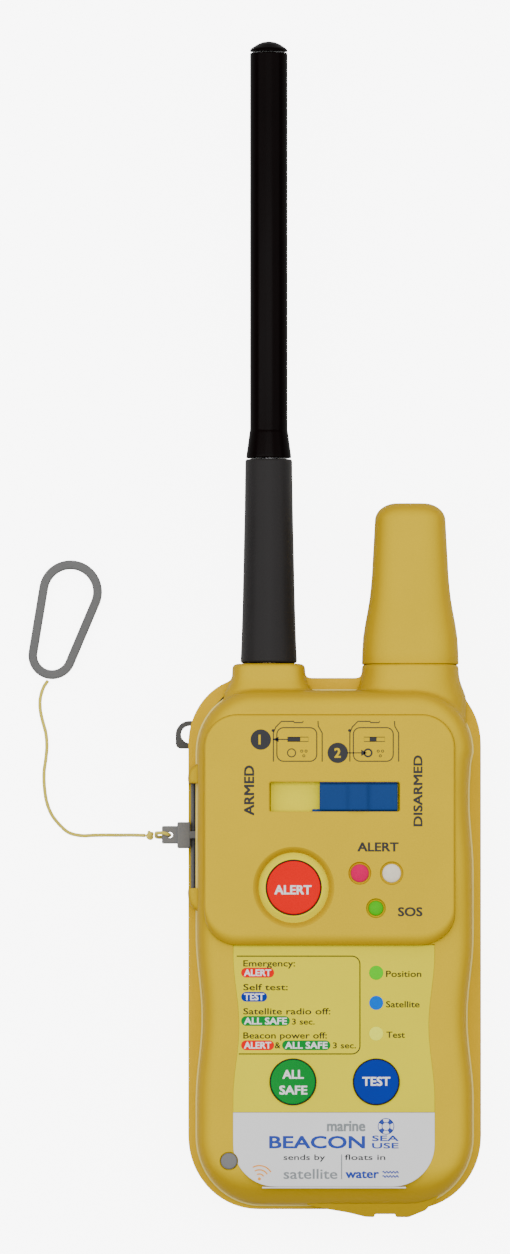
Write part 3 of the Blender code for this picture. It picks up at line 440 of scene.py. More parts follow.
def melt(name, pieces, finish_name, voxel, rounds):
    """Overlapping solids remeshed into one, with their inner corners smoothed into fillets."""
    bm = bmesh.new()
    for piece in pieces:
        bm.from_mesh(piece.data)
        bpy.data.objects.remove(piece)
    mesh = bpy.data.meshes.new(name)
    bm.to_mesh(mesh)
    bm.free()
    obj = bpy.data.objects.new(name, mesh)
    add_to_scene(obj)
    mesh.materials.append(FINISHES[finish_name])
    remesh = obj.modifiers.new("Remesh", "REMESH")
    remesh.mode = "VOXEL"
    remesh.voxel_size = voxel * MM
    remesh.use_smooth_shade = True
    smooth = obj.modifiers.new("Smooth", "SMOOTH")
    smooth.iterations = rounds
    return apply_modifiers(obj)


def show(obj, body, slot, *nodes):
    """Puts a finished piece on its body, in place of the CAD nodes that it stands for."""
    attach(obj, body)
    if nodes:
        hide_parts(*nodes)
    return obj


# ---------------------------------------------------------------- studio


def make_camera():
    data = bpy.data.cameras.new("camera")
    data.sensor_fit = "VERTICAL"
    data.sensor_height = SENSOR
    data.lens = SENSOR * VIEW_DISTANCE / VIEW_HEIGHT
    data.clip_end = 20.0
    camera = bpy.data.objects.new("camera", data)
    tilt = math.radians(VIEW_TILT)
    away = Vector((0.0, -math.sin(tilt), math.cos(tilt))) * VIEW_DISTANCE
    camera.location = (Vector(VIEW_CENTRE) + away) * MM
    camera.rotation_euler = (tilt, 0.0, 0.0)
    add_to_scene(camera)
    bpy.context.scene.camera = camera


def make_light(name, place, size, power, aim=(0.0, 40.0, 20.0)):
    data = bpy.data.lights.new(name, "AREA")
    data.shape = "RECTANGLE"
    data.size, data.size_y = size
    data.energy = power
    light = bpy.data.objects.new(name, data)
    light.location = Vector(place) * MM
    toward = (Vector(aim) - Vector(place)).normalized()
    light.rotation_euler = toward.to_track_quat("-Z", "Y").to_euler()
    light.visible_camera = False
    add_to_scene(light)
    return light


def light_only(light, *pieces):
    """Makes a light fall on these pieces alone."""
    lit = bpy.data.collections.new("lit_by_" + light.name)
    for piece in pieces:
        lit.objects.link(piece)
    light.light_linking.receiver_collection = lit


# Softboxes: name, place in millimetres, size in metres, watts
SOFTBOXES = [
    ("softbox_left", (-1150.0, 150.0, 1250.0), (1.1, 1.5), 18.0),
    ("softbox_right", (1150.0, 150.0, 1250.0), (1.1, 1.5), 15.0),
    ("softbox_top", (-60.0, 1500.0, 1150.0), (1.6, 0.9), 8.0),
    ("softbox_over", (0.0, 250.0, 1900.0), (1.2, 1.2), 20.0),
]
WHITE = (1.0, 1.0, 1.0, 1.0)
SURROUND_LIGHT = 0.2
FLOOR_GLOW = 7.0


def make_studio():
    """A white floor that glows without lighting the beacon, four softboxes and a dim surround."""
    world = bpy.data.worlds.new("studio")
    world.use_nodes = True
    background = world.node_tree.nodes["Background"]
    background.inputs["Color"].default_value = WHITE
    background.inputs["Strength"].default_value = SURROUND_LIGHT
    bpy.context.scene.world = world
    for softbox in SOFTBOXES:
        make_light(*softbox)
    bm = bmesh.new()
    bmesh.ops.create_grid(bm, x_segments=1, y_segments=1, size=6000.0)
    bmesh.ops.translate(bm, vec=(0.0, 0.0, -0.4), verts=bm.verts)
    floor = new_object("studio_floor", bm)
    material = bpy.data.materials.new("studio_white")
    material.use_nodes = True
    shader = material.node_tree.nodes["Principled BSDF"]
    shader.inputs["Base Color"].default_value = (0.88, 0.88, 0.88, 1.0)
    shader.inputs["Roughness"].default_value = 0.9
    shader.inputs["Specular IOR Level"].default_value = 0.1
    shader.inputs["Emission Color"].default_value = WHITE
    shader.inputs["Emission Strength"].default_value = FLOOR_GLOW
    floor.data.materials.append(material)
    light_only(floor, floor)


# ---------------------------------------------------------------- cord and ring

STRAND_RADIUS = 0.52
STRAND_PITCH = 2.2
STRAND_SIDES = 24
YARNS = 6
CORD_EXIT = (-54.5, 31.4, 13.6)
CORD_ROUTE = [
    CORD_EXIT,
    (-56.6, 31.5, 11.6),
    (-58.6, 31.6, 8.4),
    (-60.6, 31.65, 5.0),
    (-62.9, 31.7, 2.3),
    (-65.8, 31.75, 0.9),
    (-69.2, 31.7, 0.5),
    (-72.8, 31.6, 0.5),
    (-76.3, 32.4, 0.5),
    (-78.8, 34.4, 0.5),
    (-81.3, 37.5, 0.5),
    (-82.8, 41.2, 0.5),
    (-83.5, 45.6, 0.5),
    (-83.6, 49.9, 0.5),
    (-83.1, 53.7, 0.5),
    (-82.8, 57.4, 0.5),
    (-83.1, 61.1, 0.5),
    (-84.1, 64.9, 0.5),
    (-84.7, 67.9, 0.5),
    (-84.7, 71.1, 0.6),
    (-83.8, 74.2, 0.9),
    (-82.5, 76.2, 1.3),
]
RING_BIG = (-76.0, 101.8, 7.8)
RING_SMALL = (-81.3, 83.5, 5.55)
RING_BAND = 2.6
RING_STEPS = 40
KNOT_STEPS = 90
TAB_Y = 31.5
TAB_Z = 15.0
TAB_HOLE_X = -47.3
KNOT_LEAN = 65.0


def smooth_route(route, spacing):
    """Points about spacing apart on a smooth curve through the route's points."""
    knots = [Vector(p) for p in route]
    knots = [2 * knots[0] - knots[1], *knots, 2 * knots[-1] - knots[-2]]
    points = []
    for before, start, end, after in zip(knots, knots[1:], knots[2:], knots[3:]):
        steps = max(1, round((end - start).length / spacing))
        for i in range(steps):
            t = i / steps
            blend = (
                2 * start
                + (end - before) * t
                + (2 * before - 5 * start + 4 * end - after) * t**2
                + (3 * start - before - 3 * end + after) * t**3
            )
            points.append(blend / 2)
    return [*points, knots[-2]]


def strand(name, points, closed=False):
    """A laid cord along points: its yarns stand out as a fine helix on its surface."""
    rings = []
    count = len(points)
    normal = Vector((0.0, 0.0, 1.0))
    travelled = 0.0
    for i, point in enumerate(points):
        ahead = points[(i + 1) % count] if closed or i + 1 < count else point
        behind = points[i - 1] if closed or i else point
        along = (ahead - behind).normalized()
        normal = (normal - along * normal.dot(along)).normalized()
        side = along.cross(normal)
        travelled += (point - points[i - 1]).length if i else 0.0
        lay = 2 * math.pi * travelled / STRAND_PITCH / YARNS
        ring = []
        for k in range(STRAND_SIDES):
            a = 2 * math.pi * k / STRAND_SIDES
            r = STRAND_RADIUS * (0.93 + 0.07 * abs(math.cos(YARNS / 2 * (a - lay))))
            ring.append(point + (normal * math.cos(a) + side * math.sin(a)) * r)
        rings.append(ring)
    return new_object(name, skin(rings, closed), "cord_khaki", sharp=70.0)


def swept(name, path, section, finish_name):
    """A closed bar along a level path: section holds (outwards, up)."""
    rings = []
    for i, point in enumerate(path):
        along = (path[(i + 1) % len(path)] - path[i - 1]).normalized()
        out = Vector((along.y, -along.x, 0.0))
        rings.append([point + out * u + Vector((0.0, 0.0, v)) for u, v in section])
    return new_object(name, skin(rings, closed=True), finish_name)


def ring_path():
    """The pull ring's centreline: two arcs of unlike radius joined by their common tangents."""
    big, small = Vector((*RING_BIG[:2], 0.0)), Vector((*RING_SMALL[:2], 0.0))
    along = big - small
    lean = math.atan2(along.y, along.x)
    spread = math.acos((RING_SMALL[2] - RING_BIG[2]) / along.length)
    arcs = [(big, RING_BIG[2], lean - spread, lean + spread)]
    arcs.append((small, RING_SMALL[2], lean + spread, lean + 2 * math.pi - spread))
    points = []
    for centre, radius, first, last in arcs:
        for i in range(RING_STEPS + 1):
            a = first + (last - first) * i / RING_STEPS
            points.append(centre + radius * Vector((math.cos(a), math.sin(a), 0.0)))
    return points


def make_lanyard():
    """The cord with its knot and loop at the tab, and the ring at its far end."""
    half = RING_BAND / 2
    section = square_rounded((-half, 0.0), (half, RING_BAND), 0.55, 4)
    ring = swept("lanyard_ring", ring_path(), section, "fitting_grey")
    show(ring, "release", "fitting_grey", "pull_ring")
    knot = strand("lanyard_knot", knot_route(), closed=True)
    show(knot, "release", "cord_khaki", "cord_knot")
    loop = strand("lanyard_loop", loop_route(), closed=True)
    show(loop, "release", "cord_khaki", "tab_loop")
    points = smooth_route(CORD_ROUTE, 0.3)
    cord = strand("lanyard_line", points)
    show(cord, "release", "cord_khaki", "lanyard_cord")


def knot_route():
    """A small overhand knot, as a closed trefoil that fills the knot's place."""
    centre = middle("cord_knot")
    points = []
    for i in range(KNOT_STEPS):
        t = 2 * math.pi * i / KNOT_STEPS
        swing = 0.62 + 0.30 * math.cos(3 * t)
        place = Vector((swing * math.cos(2 * t), swing * math.sin(2 * t), 0.42 * math.sin(3 * t)))
        points.append(centre + Matrix.Rotation(math.radians(KNOT_LEAN), 3, "Y") @ place)
    return points


def loop_route():
    """The loop through the tab's hole, over and under its tail, and back to the knot."""
    over, under = TAB_Z + 2.8, TAB_Z - 2.8
    side = 0.55
    corners = [
        (-51.2, TAB_Y + side, over - 1.6),
        (-49.4, TAB_Y + side, over),
        (-47.9, TAB_Y + 0.2, over - 0.1),
        (TAB_HOLE_X, TAB_Y, TAB_Z),
        (-47.9, TAB_Y - 0.2, under + 0.1),
        (-49.4, TAB_Y - side, under),
        (-51.0, TAB_Y - side, under + 1.0),
        (-51.25, TAB_Y - 0.1, TAB_Z - 0.4),
    ]
    return smooth_route([*corners, corners[0]], 0.35)[:-1]


# ---------------------------------------------------------------- casing

# Levels along Z, and sizes, in millimetres
SEAM_Z = 20.0
SEAM_GAP = 0.15
FACE_Z = 36.0
FACE_RISE = 2.3
RIM_WIDTH = 0.45
ANTENNA_Z = 19.5
SIDE_SLOT = (16.0, 46.2)
SLOT_FLOOR = 10.5
BOSS_FLARE = 2.8
NECK_FLARE = 2.4
CUT_TOP = 45.0
CONTACT_SEAT = 2.65
LAMPS = ("led_red", "led_white", "led_green")
WINDOWS = ("window_position", "window_satellite", "window_test")
SCREWS = [f"case_screw_{i}" for i in range(1, 7)]
ROUND_START = 31.0
FACE_ROUND = 5.0
BACK_ROUND = 6.0


def front_outline():
    """The front shell seen from the front, with a shallow hollow on each side for the fingers."""
    w, low, high = 39.9, -75.0, 73.2
    stations = range(-50, 55, 3)
    points = corner((w - 17, high - 18), (17, 18), 0) + corner((-w + 17, high - 18), (17, 18), 90)
    points += [(-w + waist(y, -21, 24, 1.7), y) for y in reversed(stations)]
    points += corner((-w + 19, low + 20), (19, 20), 180) + corner((w - 19, low + 20), (19, 20), 270)
    points += [(w - waist(y, -21, 24, 1.8) - waist(y, 42, 22, 1.2), y) for y in stations]
    return points


def rear_outline():
    low, high = (-42.0, -75.9), (42.0, 76.5)
    return rounded(low, high, [(17, 19), (17, 19), (20, 21), (20, 21)])


def axis_of(node):
    """The x and z of an antenna's axis, which runs along Y."""
    return (middle(node).x, ANTENNA_Z)


def whip_boss():
    """The square boss under the whip antenna, which widens where it meets the casing."""
    centre = axis_of("antenna_whip")
    half, top = 10.5, 80.4
    rings = [oval(centre, half + BOSS_FLARE, half + BOSS_FLARE, 58.0, 4.5)]
    for y in (72.0, 72.6, 73.2, 73.8, 74.6, 75.6, 76.8, 78.0):
        extra = BOSS_FLARE * (1 - smoothstep(y, 70.5, 78.0)) ** 1.5
        rings.append(oval(centre, half + extra, half + 0.5 * extra, y, 4.5))
    for fall, sine in quarter_turn(3):
        rings.append(oval(centre, half - fall, half - fall, top - 1.0 + sine, 4.5))
    return new_object("whip_boss", skin(rings))


def radome_neck():
    """The neck under the satellite antenna, which widens into the casing."""
    centre = axis_of("satellite_radome")
    width, depth = 13.9, 12.2
    rings = [oval(centre, width + NECK_FLARE, depth + 0.5 * NECK_FLARE, 58.0, 3.0)]
    for y in (71.0, 72.0, 73.0, 74.0, 75.0, 76.0, 77.2, 78.6, 80.3):
        extra = NECK_FLARE * (1 - smoothstep(y, 69.0, 79.5)) ** 1.5
        rings.append(oval(centre, width + extra, depth + 0.5 * extra, y, 3.0))
    return new_object("radome_neck", skin(rings))


def lower_lobe(low, high):
    """The swelling at the lower end, with a shallow notch for a fingernail."""
    points = [(31.0, -68.0), (29.4, -72.6), (26.0, -76.2), (21.2, -78.2), (17.6, -78.2)]
    points += [(17.4, -77.3), (11.5, -77.3), (11.3, -78.2), (8.8, -78.1), (3.9, -76.9)]
    points += [(-2.0, -75.9), (-8.0, -74.6), (-8.0, -68.0)]
    outline = list(reversed(eased(points, 0.5, closed=True)))
    return plate("lower_lobe", outline, low, high, 0.15)


def side_ears(low, high):
    """The two swellings that flank the side slot."""
    start, end = SIDE_SLOT
    root, crest, shoulder = -37.0, -42.1, -40.2
    lower = [(root, start - 6.5), (root, start + 1), (crest, start + 1)]
    lower += [(crest, start - 3.5), (shoulder, start - 6.5)]
    upper = [(root, end - 1), (root, end + 5.5), (shoulder, end + 5.5)]
    upper += [(crest, end + 3.2), (crest, end - 1)]
    ears = []
    for points in (lower, upper):
        outline = eased(points, 2.0, closed=True)
        if sum(a.x * b.y - b.x * a.y for a, b in zip(outline, outline[1:])) < 0:
            outline.reverse()
        ears.append(plate("ear", outline, low, high, 1.6))
    return ears


def shape_front(obj):
    """Raises the face towards the antennas, and lets it fall away at the lower end."""
    for vertex in obj.data.vertices:
        _, y, z = vertex.co / MM
        share = min(1.0, max(0.0, (z - SEAM_Z - 4) / (FACE_Z - SEAM_Z - 4)))
        lift = FACE_RISE * smoothstep(y, -8.0, 30.0)
        fall = 8.0 * max(0.0, (-63.0 - y) / 12.0) ** 2
        vertex.co.z = (z + share * (lift - fall)) * MM


def antenna_bores(prefix):
    """Cutters for the whip antenna's socket and mouth, and for the radome's throat."""
    whip = axis_of("antenna_whip")
    dome = axis_of("satellite_radome")
    socket = [(0, 60), (6.3, 60), (6.3, 76.4), (0, 76.4)]
    socket = turned(prefix + "_socket", socket, whip, along="Y")
    mouth = [(0, 76), (4.5, 76), (4.5, 78.8), (6.5, 78.8), (6.5, 83), (0, 83)]
    mouth = turned(prefix + "_mouth", mouth, whip, along="Y")
    throat = new_object(prefix + "_throat", skin([oval(dome, 10.6, 9.6, y) for y in (68.0, 83.0)]))
    return [socket, mouth, throat]


def make_slot_shadow():
    """A black piece on the side slot's floor and inner wall: painted shadow for the slot's dark
    depth.
    """
    start, end = SIDE_SLOT[0] + 0.05, SIDE_SLOT[1] - 0.05
    floor = (-41.0, start, SLOT_FLOOR + 0.05), (-38.55, end, SLOT_FLOOR + 0.4)
    floor = soft_box("slot_painted_shadow", *floor, 0.1, "rubber_black", 2)
    wall = soft_box("slot_wall_shadow", (-38.8, start, 10.7), (-38.55, end, SEAM_Z - 0.5), 0.1)
    show(combine(floor, [wall], "UNION"), "casing", "rubber_black")


def make_rim():
    """The thin lip along the front shell's edge, where the two shells meet, coloured pale as a
    painted highlight line.
    """
    outer, inner = front_outline(), pulled_in(front_outline(), RIM_WIDTH + 0.9)
    low, high = SEAM_Z + SEAM_GAP, SEAM_Z + 1.2
    section = ((outer, low), (outer, high), (inner, high), (inner, low))
    rings = [[(x, y, z) for x, y in line] for line, z in section]
    show(new_object("shell_rim", skin(rings, closed=True), "rim_highlight_pale"), "casing", "foil_yellow")


def cavity(name, low, high):
    """The room inside the casing, which ends short of the antennas and the falling face."""
    outline = rounded((-36.2, -68.5), (36.2, 70.5), [(14, 16), (14, 16), (16, 18), (16, 18)])
    return plate(name, outline, low, high)


def hole(node, clearance, bottom):
    """A cutter round a round node, open to the front."""
    outline = circle(middle(node), radius_of(node) + clearance)
    return plate(node + "_hole", outline, bottom, CUT_TOP)


def front_cutters():
    """What is cut out of the front shell."""
    start, end = SIDE_SLOT
    contact = middle("water_contact")
    pocket = span("alert_button")[0].z - 1.4
    cutters = [
        plain_box("below", (-60, -90, 0), (60, 95, SEAM_Z + SEAM_GAP)),
        cavity("front_cavity", 10.0, 33.0),
        *antenna_bores("front"),
        plain_box("side_notch", (-46.0, start, 12.0), (-39.3, end, CUT_TOP)),
        plate("cover_recess", cover_outline(-0.06, -0.06), FACE_Z + 0.02, CUT_TOP),
        plate("panel_recess", panel_outline(0.04), FACE_Z - 0.6, CUT_TOP),
    ]
    cutters += [hole(node, 0.3, pocket) for node in ("alert_button", "safe_button", "test_button")]
    cutters += [hole(node, 0.3, ROUND_START) for node in (*LAMPS, *WINDOWS)]
    cutters.append(plate("contact_hole", circle(contact, 1.3), ROUND_START, CUT_TOP))
    cutters.append(plate("contact_seat", circle(contact, CONTACT_SEAT), FACE_Z - 0.9, CUT_TOP))
    return cutters


def make_front():
    levels = [(14.0, 0.0), (SEAM_Z, 0.0), (26.0, 0.05), (ROUND_START, 0.25)]
    for fall, sine in quarter_turn(8, 1):
        levels.append((ROUND_START + FACE_ROUND * sine, 0.25 + FACE_ROUND * fall))
    outline = pulled_in(front_outline(), RIM_WIDTH)
    pieces = [dished("front_core", outline, levels), whip_boss(), radome_neck()]
    front = melt("casing_front", pieces, "front_yellow", voxel=0.4, rounds=20)
    combine(front, [lower_lobe(14.0, 31.0)], "UNION")
    shape_front(front)
    combine(front, [plate("label_bed", panel_outline(0.04), 30.0, FACE_Z)], "UNION")
    combine(front, side_ears(14.0, 29.0), "UNION")
    show(combine(front, front_cutters()), "casing", "front_yellow", "front_shell")


def rear_cutters():
    """What is cut out of the rear shell."""
    start, end = SIDE_SLOT
    low, high = span("lanyard_lug")
    room = Vector((0.4, 0.4, 0.3))
    bar = middle("retaining_bar")
    holes = [(0, start - 2.4), (0.9, start - 2.4), (0.9, end + 2.4), (0, end + 2.4)]
    cutters = [
        plain_box("above", (-60, -90, SEAM_Z - SEAM_GAP), (60, 95, 50.0)),
        cavity("rear_cavity", 2.4, 30.0),
        *antenna_bores("rear"),
        plain_box("rear_slot", (-46.0, start, SLOT_FLOOR), (-38.5, end, 30.0)),
        plain_box("lug_slot", low - Vector((4, 0.4, 0.3)), high + room),
        turned("bar_holes", holes, (bar.x, bar.z), along="Y", steps=32),
    ]
    for node in SCREWS:
        cutters.append(plate(node + "_seat", circle(middle(node), 3.05), -1.0, 2.6))
    return cutters


def make_rear():
    levels = [(BACK_ROUND * fall, BACK_ROUND * (1 - sine)) for fall, sine in quarter_turn(8)]
    levels.append((26.0, 0.0))
    pieces = [dished("rear_core", rear_outline(), levels), whip_boss(), radome_neck()]
    rear = melt("casing_rear", pieces, "rear_yellow", voxel=0.6, rounds=8)
    combine(rear, [lower_lobe(10.0, 26.0)], "UNION")
    show(combine(rear, rear_cutters()), "casing", "rear_yellow", "rear_shell")


# ---------------------------------------------------------------- panel

COVER_EDGE = 0.8
BUTTON_INSET = 0.22
SEAL_GASKET_FOOT = 36.9
COVER_FOOT = 3.3
COVER_FALL = 1.9
LABEL_ROUND = 12.0
SKIRT_TOP = 37.7
ROUND_SHARES = (0.0, 0.1, 0.3, 0.65, 1.0)


def cover_outline(inset=0.0, foot_inset=0.0):
    """The cover's outline, pulled in by inset and, at its foot, by foot_inset."""
    low, high = span("panel_cover")
    low = (low.x + inset, low.y + foot_inset)
    high = (high.x - inset, high.y - inset)
    side = 9.5 - inset
    corners = [(side, side)] * 3 + [(side + 1.0, side - 0.5)]
    outline = rounded(low, high, corners)
    return [(x - waist(y, 31.5, 24, 1.0) if x > 20 else x, y) for x, y in outline]


def panel_outline(grow=0.0):
    """The keypad foil and label together, pulled in along both sides like the casing."""
    top, bottom = span("panel_cover")[0].y + 0.3, span("info_label")[0].y - grow
    left, right = span("info_label")[0].x - grow, span("info_label")[1].x + grow
    return panel_shape(left, right, bottom, top, LABEL_ROUND + grow)


def panel_shape(left, right, bottom, top, radius):
    """A sheet whose sides follow the casing's hollows, with two round lower corners."""
    ys = [bottom + radius + (top - bottom - radius) * i / 30 for i in range(31)]
    points = [(right - waist(y, -23.5, 21, 1.7), y) for y in ys]
    points += [(left + waist(y, -23.5, 21, 1.7), y) for y in reversed(ys)]
    if radius:
        points += corner((left + radius, bottom + radius), (radius, radius), 180)[1:]
        points += corner((right - radius, bottom + radius), (radius, radius), 270)[:-1]
    return points


def cover_levels():
    """The cover's rings as (z, side inset, foot inset), with a long fall at the foot."""
    low, high = span("panel_cover")
    levels = [(low.z, 0.0, 0.0)]
    for k in range(13):
        share = k / 12
        z = high.z - COVER_FALL * (1 - share) ** 2
        near = min(1.0, (high.z - z) / COVER_EDGE)
        side = COVER_EDGE * (1 - math.sqrt(1 - (1 - near) ** 2))
        levels.append((z, side, COVER_FOOT * share))
    return levels


def alert_well(top):
    """The cutter for the round well that the ALERT button sits in."""
    profile = [(0, 30.0), (10.0, 30.0), (10.0, 37.2), (10.25, 38.1), (10.9, top - 0.45)]
    profile += [(11.7, top + 0.03), (11.7, CUT_TOP), (0, CUT_TOP)]
    return turned("alert_well", profile, middle("alert_seal"), steps=96)


def lamp_well(node, top):
    """The cutter for a lamp's hole and the small countersink round it."""
    r = radius_of(node)
    profile = [(0, 30), (r + 0.03, 30), (r + 0.03, top - 0.9), (r + 0.4, top - 0.7)]
    profile += [(r + 0.75, top + 0.03), (r + 0.75, CUT_TOP), (0, CUT_TOP)]
    return turned(node + "_well", profile, middle(node), steps=64)


def slot_cutters(top):
    """The slider's window through the cover, its softened rim, and the wider space beneath it."""
    low, high = span("slider_track")
    start, end = (low.x - 0.3, low.y + 0.8), (high.x + 0.3, high.y - 0.8)
    window = square_rounded(start, end, 0.6, 4)
    rim = pulled_in(window, -0.25)
    under = (start[0], low.y - 0.3, low.z - 2), (end[0], high.y + 0.3, 38.0)
    cutters = [plate("slot", window, 30.0, CUT_TOP), plate("slot_rim", rim, top - 0.25, CUT_TOP)]
    return [*cutters, plain_box("slot_under", *under)]


def make_cover():
    top = span("panel_cover")[1].z
    rings = [[(x, y, z) for x, y in cover_outline(side, foot)] for z, side, foot in cover_levels()]
    cover = new_object("cover", skin(rings), "front_yellow")
    cutters = [alert_well(top), *slot_cutters(top)]
    cutters += [lamp_well(node, top) for node in LAMPS]
    show(combine(cover, cutters, sharp=28.0), "casing", "front_yellow", "panel_cover")


def make_foils():
    """The keypad foil, the label below it, and a pale strip at the label's lower edge, partly that
    edge and partly a painted highlight along the crease.
    """
    low, high = span("keypad_foil")
    label_low, label_high = span("info_label")
    left, right = label_low.x, label_high.x
    foil = panel_shape(left, right, low.y, span("panel_cover")[0].y - 0.02, 0.0)
    foil = plate("keypad_sheet", foil, low.z, high.z, 0.08, "foil_yellow")
    cutters = [hole(node, 0.18, 30.0) for node in ("safe_button", "test_button")]
    cutters += [hole(node, 0.02, 30.0) for node in WINDOWS]
    show(combine(foil, cutters), "casing", "foil_yellow", "keypad_foil")
    label = panel_shape(left, right, label_low.y, label_high.y, LABEL_ROUND)
    label = plate("label_sheet", label, label_low.z, label_high.z, 0.08, "label_grey")
    notch = plate("contact_notch", circle(middle("water_contact"), CONTACT_SEAT), 30.0, CUT_TOP)
    show(combine(label, [notch]), "casing", "label_grey", "info_label")
    # A pale strip below the label: partly its edge, partly a painted highlight along the crease
    # where the face falls away
    edge_highlight = (-20.8, -69.9, 33.0), (20.3, -69.45, 35.6)
    show(soft_box("label_edge_highlight", *edge_highlight, 0.1, "label_grey", 2), "casing", "label_grey")


def lens(name, node, finish_name, dome):
    """A round rod with a domed end."""
    low, high = span(node)
    r = radius_of(node)
    profile = [(0.0, low.z), (r - 0.2, low.z), (r, low.z + 0.2)]
    base = high.z - dome
    profile += [(r * (1 - fall), base + dome * sine) for fall, sine in quarter_turn(12)]
    piece = turned(name, profile, middle(node), finish_name, steps=64)
    return show(piece, "casing", finish_name, node)


def make_lenses():
    for colour in ("red", "white", "green"):
        lens("lamp_" + colour, "led_" + colour, "lens_" + colour, 0.7)
    for use, colour in (("position", "green"), ("satellite", "blue"), ("test", "pale")):
        lens("pane_" + use, "window_" + use, "window_" + colour, 0.08)


def make_button(name, node, body, finish_name, skirt, dish, edge):
    """A disc with a flat or dished face and a rounded rim, on a stem over its dome."""
    low, high = span(node)
    r = radius_of(node) - BUTTON_INSET
    top = high.z
    profile = [(0, low.z), (2.4, low.z), (2.4, top - skirt), (r, top - skirt), (r, top - edge)]
    profile += [(r - edge * fall, top - edge * (1 - sine)) for fall, sine in quarter_turn(5, 1)]
    for share in (0.1, 0.2, 0.35, 0.55, 0.8, 1.0):
        profile.append(((r - edge) * (1 - share), top - dish * smoothstep(share, 0.0, 1.0)))
    show(turned(name, profile, middle(node), finish_name, steps=96), body, finish_name, node)


def gap_ring(name, foot, top):
    """The dark rubber that closes the gap round a button."""
    node = name + "_button"
    inner, outer = radius_of(node) - BUTTON_INSET + 0.06, radius_of(node) + 0.1
    profile = [(inner, foot), (outer, foot), (outer, top - 0.1), (outer - 0.1, top)]
    profile.append((inner, top - 0.05))
    centre = middle(node)
    ring = turned(name + "_gasket", profile, centre, "rubber_black", steps=96, closed=True)
    show(ring, "casing", "rubber_black")


def make_buttons():
    make_button("alert_disc", "alert_button", "alert_key", "alert_red", 1.9, 0.06, 0.3)
    make_button("safe_disc", "safe_button", "safe_key", "safe_green", 1.05, 0.0, 0.15)
    make_button("test_disc", "test_button", "test_key", "test_blue", 1.05, 0.0, 0.15)
    make_seal()
    gap_ring("alert", SEAL_GASKET_FOOT, span("alert_button")[1].z - 0.4)
    for name in ("safe", "test"):
        top = span(name + "_button")[1].z
        gap_ring(name, top - 1.0, top - 0.25)


def make_seal():
    """The pale skirt round the ALERT button."""
    low = span("alert_seal")[0]
    reach = radius_of("alert_seal") - 0.4
    edge = radius_of("alert_button")
    top = span("alert_button")[1].z
    profile = [(edge + 0.15, low.z), (reach, low.z), (reach, 37.0), (reach - 0.3, 37.35)]
    profile += [(9.5, 37.8), (8.5, top - 0.55), (edge + 0.25, top - 0.45), (edge + 0.15, top - 0.5)]
    profile = eased(profile, 0.25, closed=True)
    centre = middle("alert_seal")
    # The skirt's yellow is lightened as painted light against the well's shade
    seal = turned("alert_skirt", profile, centre, "lightened_recess_yellow", steps=96, closed=True)
    show(seal, "casing", "foil_yellow", "alert_seal")


def slider_ring(profile, left, right, foot, y, share):
    """The slider's outline at y; a share under 1 draws it in, to round its two edges."""
    inset = 0.5 * (1 - math.sqrt(1 - (1 - share) ** 2))
    low, high = left + inset, right - inset
    return [(min(max(x, low), high), y, max(foot, z - inset)) for x, z in profile]


def make_slider():
    low, high = span("slider_track")
    # The track's yellow is lightened as painted light against the slot's shade
    track = soft_box("slider_floor", low, high, 0.12, "lightened_recess_yellow", 2)
    show(track, "casing", "foil_yellow", "slider_track")
    low, high = span("arming_slider")
    left, right, back, front = low.x + 2.1, high.x, low.y + 1.2, high.y - 1.4
    top = high.z - 1.0
    profile = [(left, low.z), (right, low.z), (right, top), (10.2, top), (8.9, high.z)]
    profile += [(4.4, high.z), (2.9, top), (left, top)]
    profile = eased(profile, 0.55, 4, closed=True)
    stations = [(back + 0.5 * share, share) for share in ROUND_SHARES]
    stations += [(front - 0.5 * share, share) for share in reversed(ROUND_SHARES)]
    rings = [slider_ring(profile, left, right, low.z, y, share) for y, share in stations]
    slider = new_object("slide_key", skin(rings), "slider_blue")
    skirt = (left + 0.05, low.y, low.z), (right, high.y, SKIRT_TOP)
    tail = low, (left + 2.0, back + 0.35, SKIRT_TOP)
    extras = [soft_box("slide_skirt", *skirt, 0.15), soft_box("slide_tail", *tail, 0.15)]
    combine(slider, extras, "UNION")
    show(slider, "slider", "slider_blue", "arming_slider")


def make_contact():
    low, high = span("water_contact")
    r = radius_of("water_contact")
    head = FACE_Z - 0.5
    profile = [(0, low.z), (1.0, low.z), (1.0, head), (r, head)]
    profile += [(r, high.z - 0.15), (r - 0.2, high.z), (0, high.z)]
    centre = middle("water_contact")
    piece = turned("sea_contact", eased(profile, 0.12), centre, "contact_grey", steps=48)
    show(piece, "casing", "steel", "water_contact")


# ---------------------------------------------------------------- antennas

CORE_BORE = 2.3
# Name, place, size, watts and aim of the light that falls on the rod alone
STRIP_LIGHT = (
    "softbox_strip",
    (-220.0, 195.0, 270.0),
    (0.60, 0.07),
    0.7,
    (-220.0, 195.0, 20.0),
)


def turned_along(name, profile, reach, centre, finish_name, closed=False):
    """A turned piece along Y, with its profile's corners eased."""
    return turned(name, eased(profile, reach, closed=closed), centre, finish_name, "Y", 96, closed)


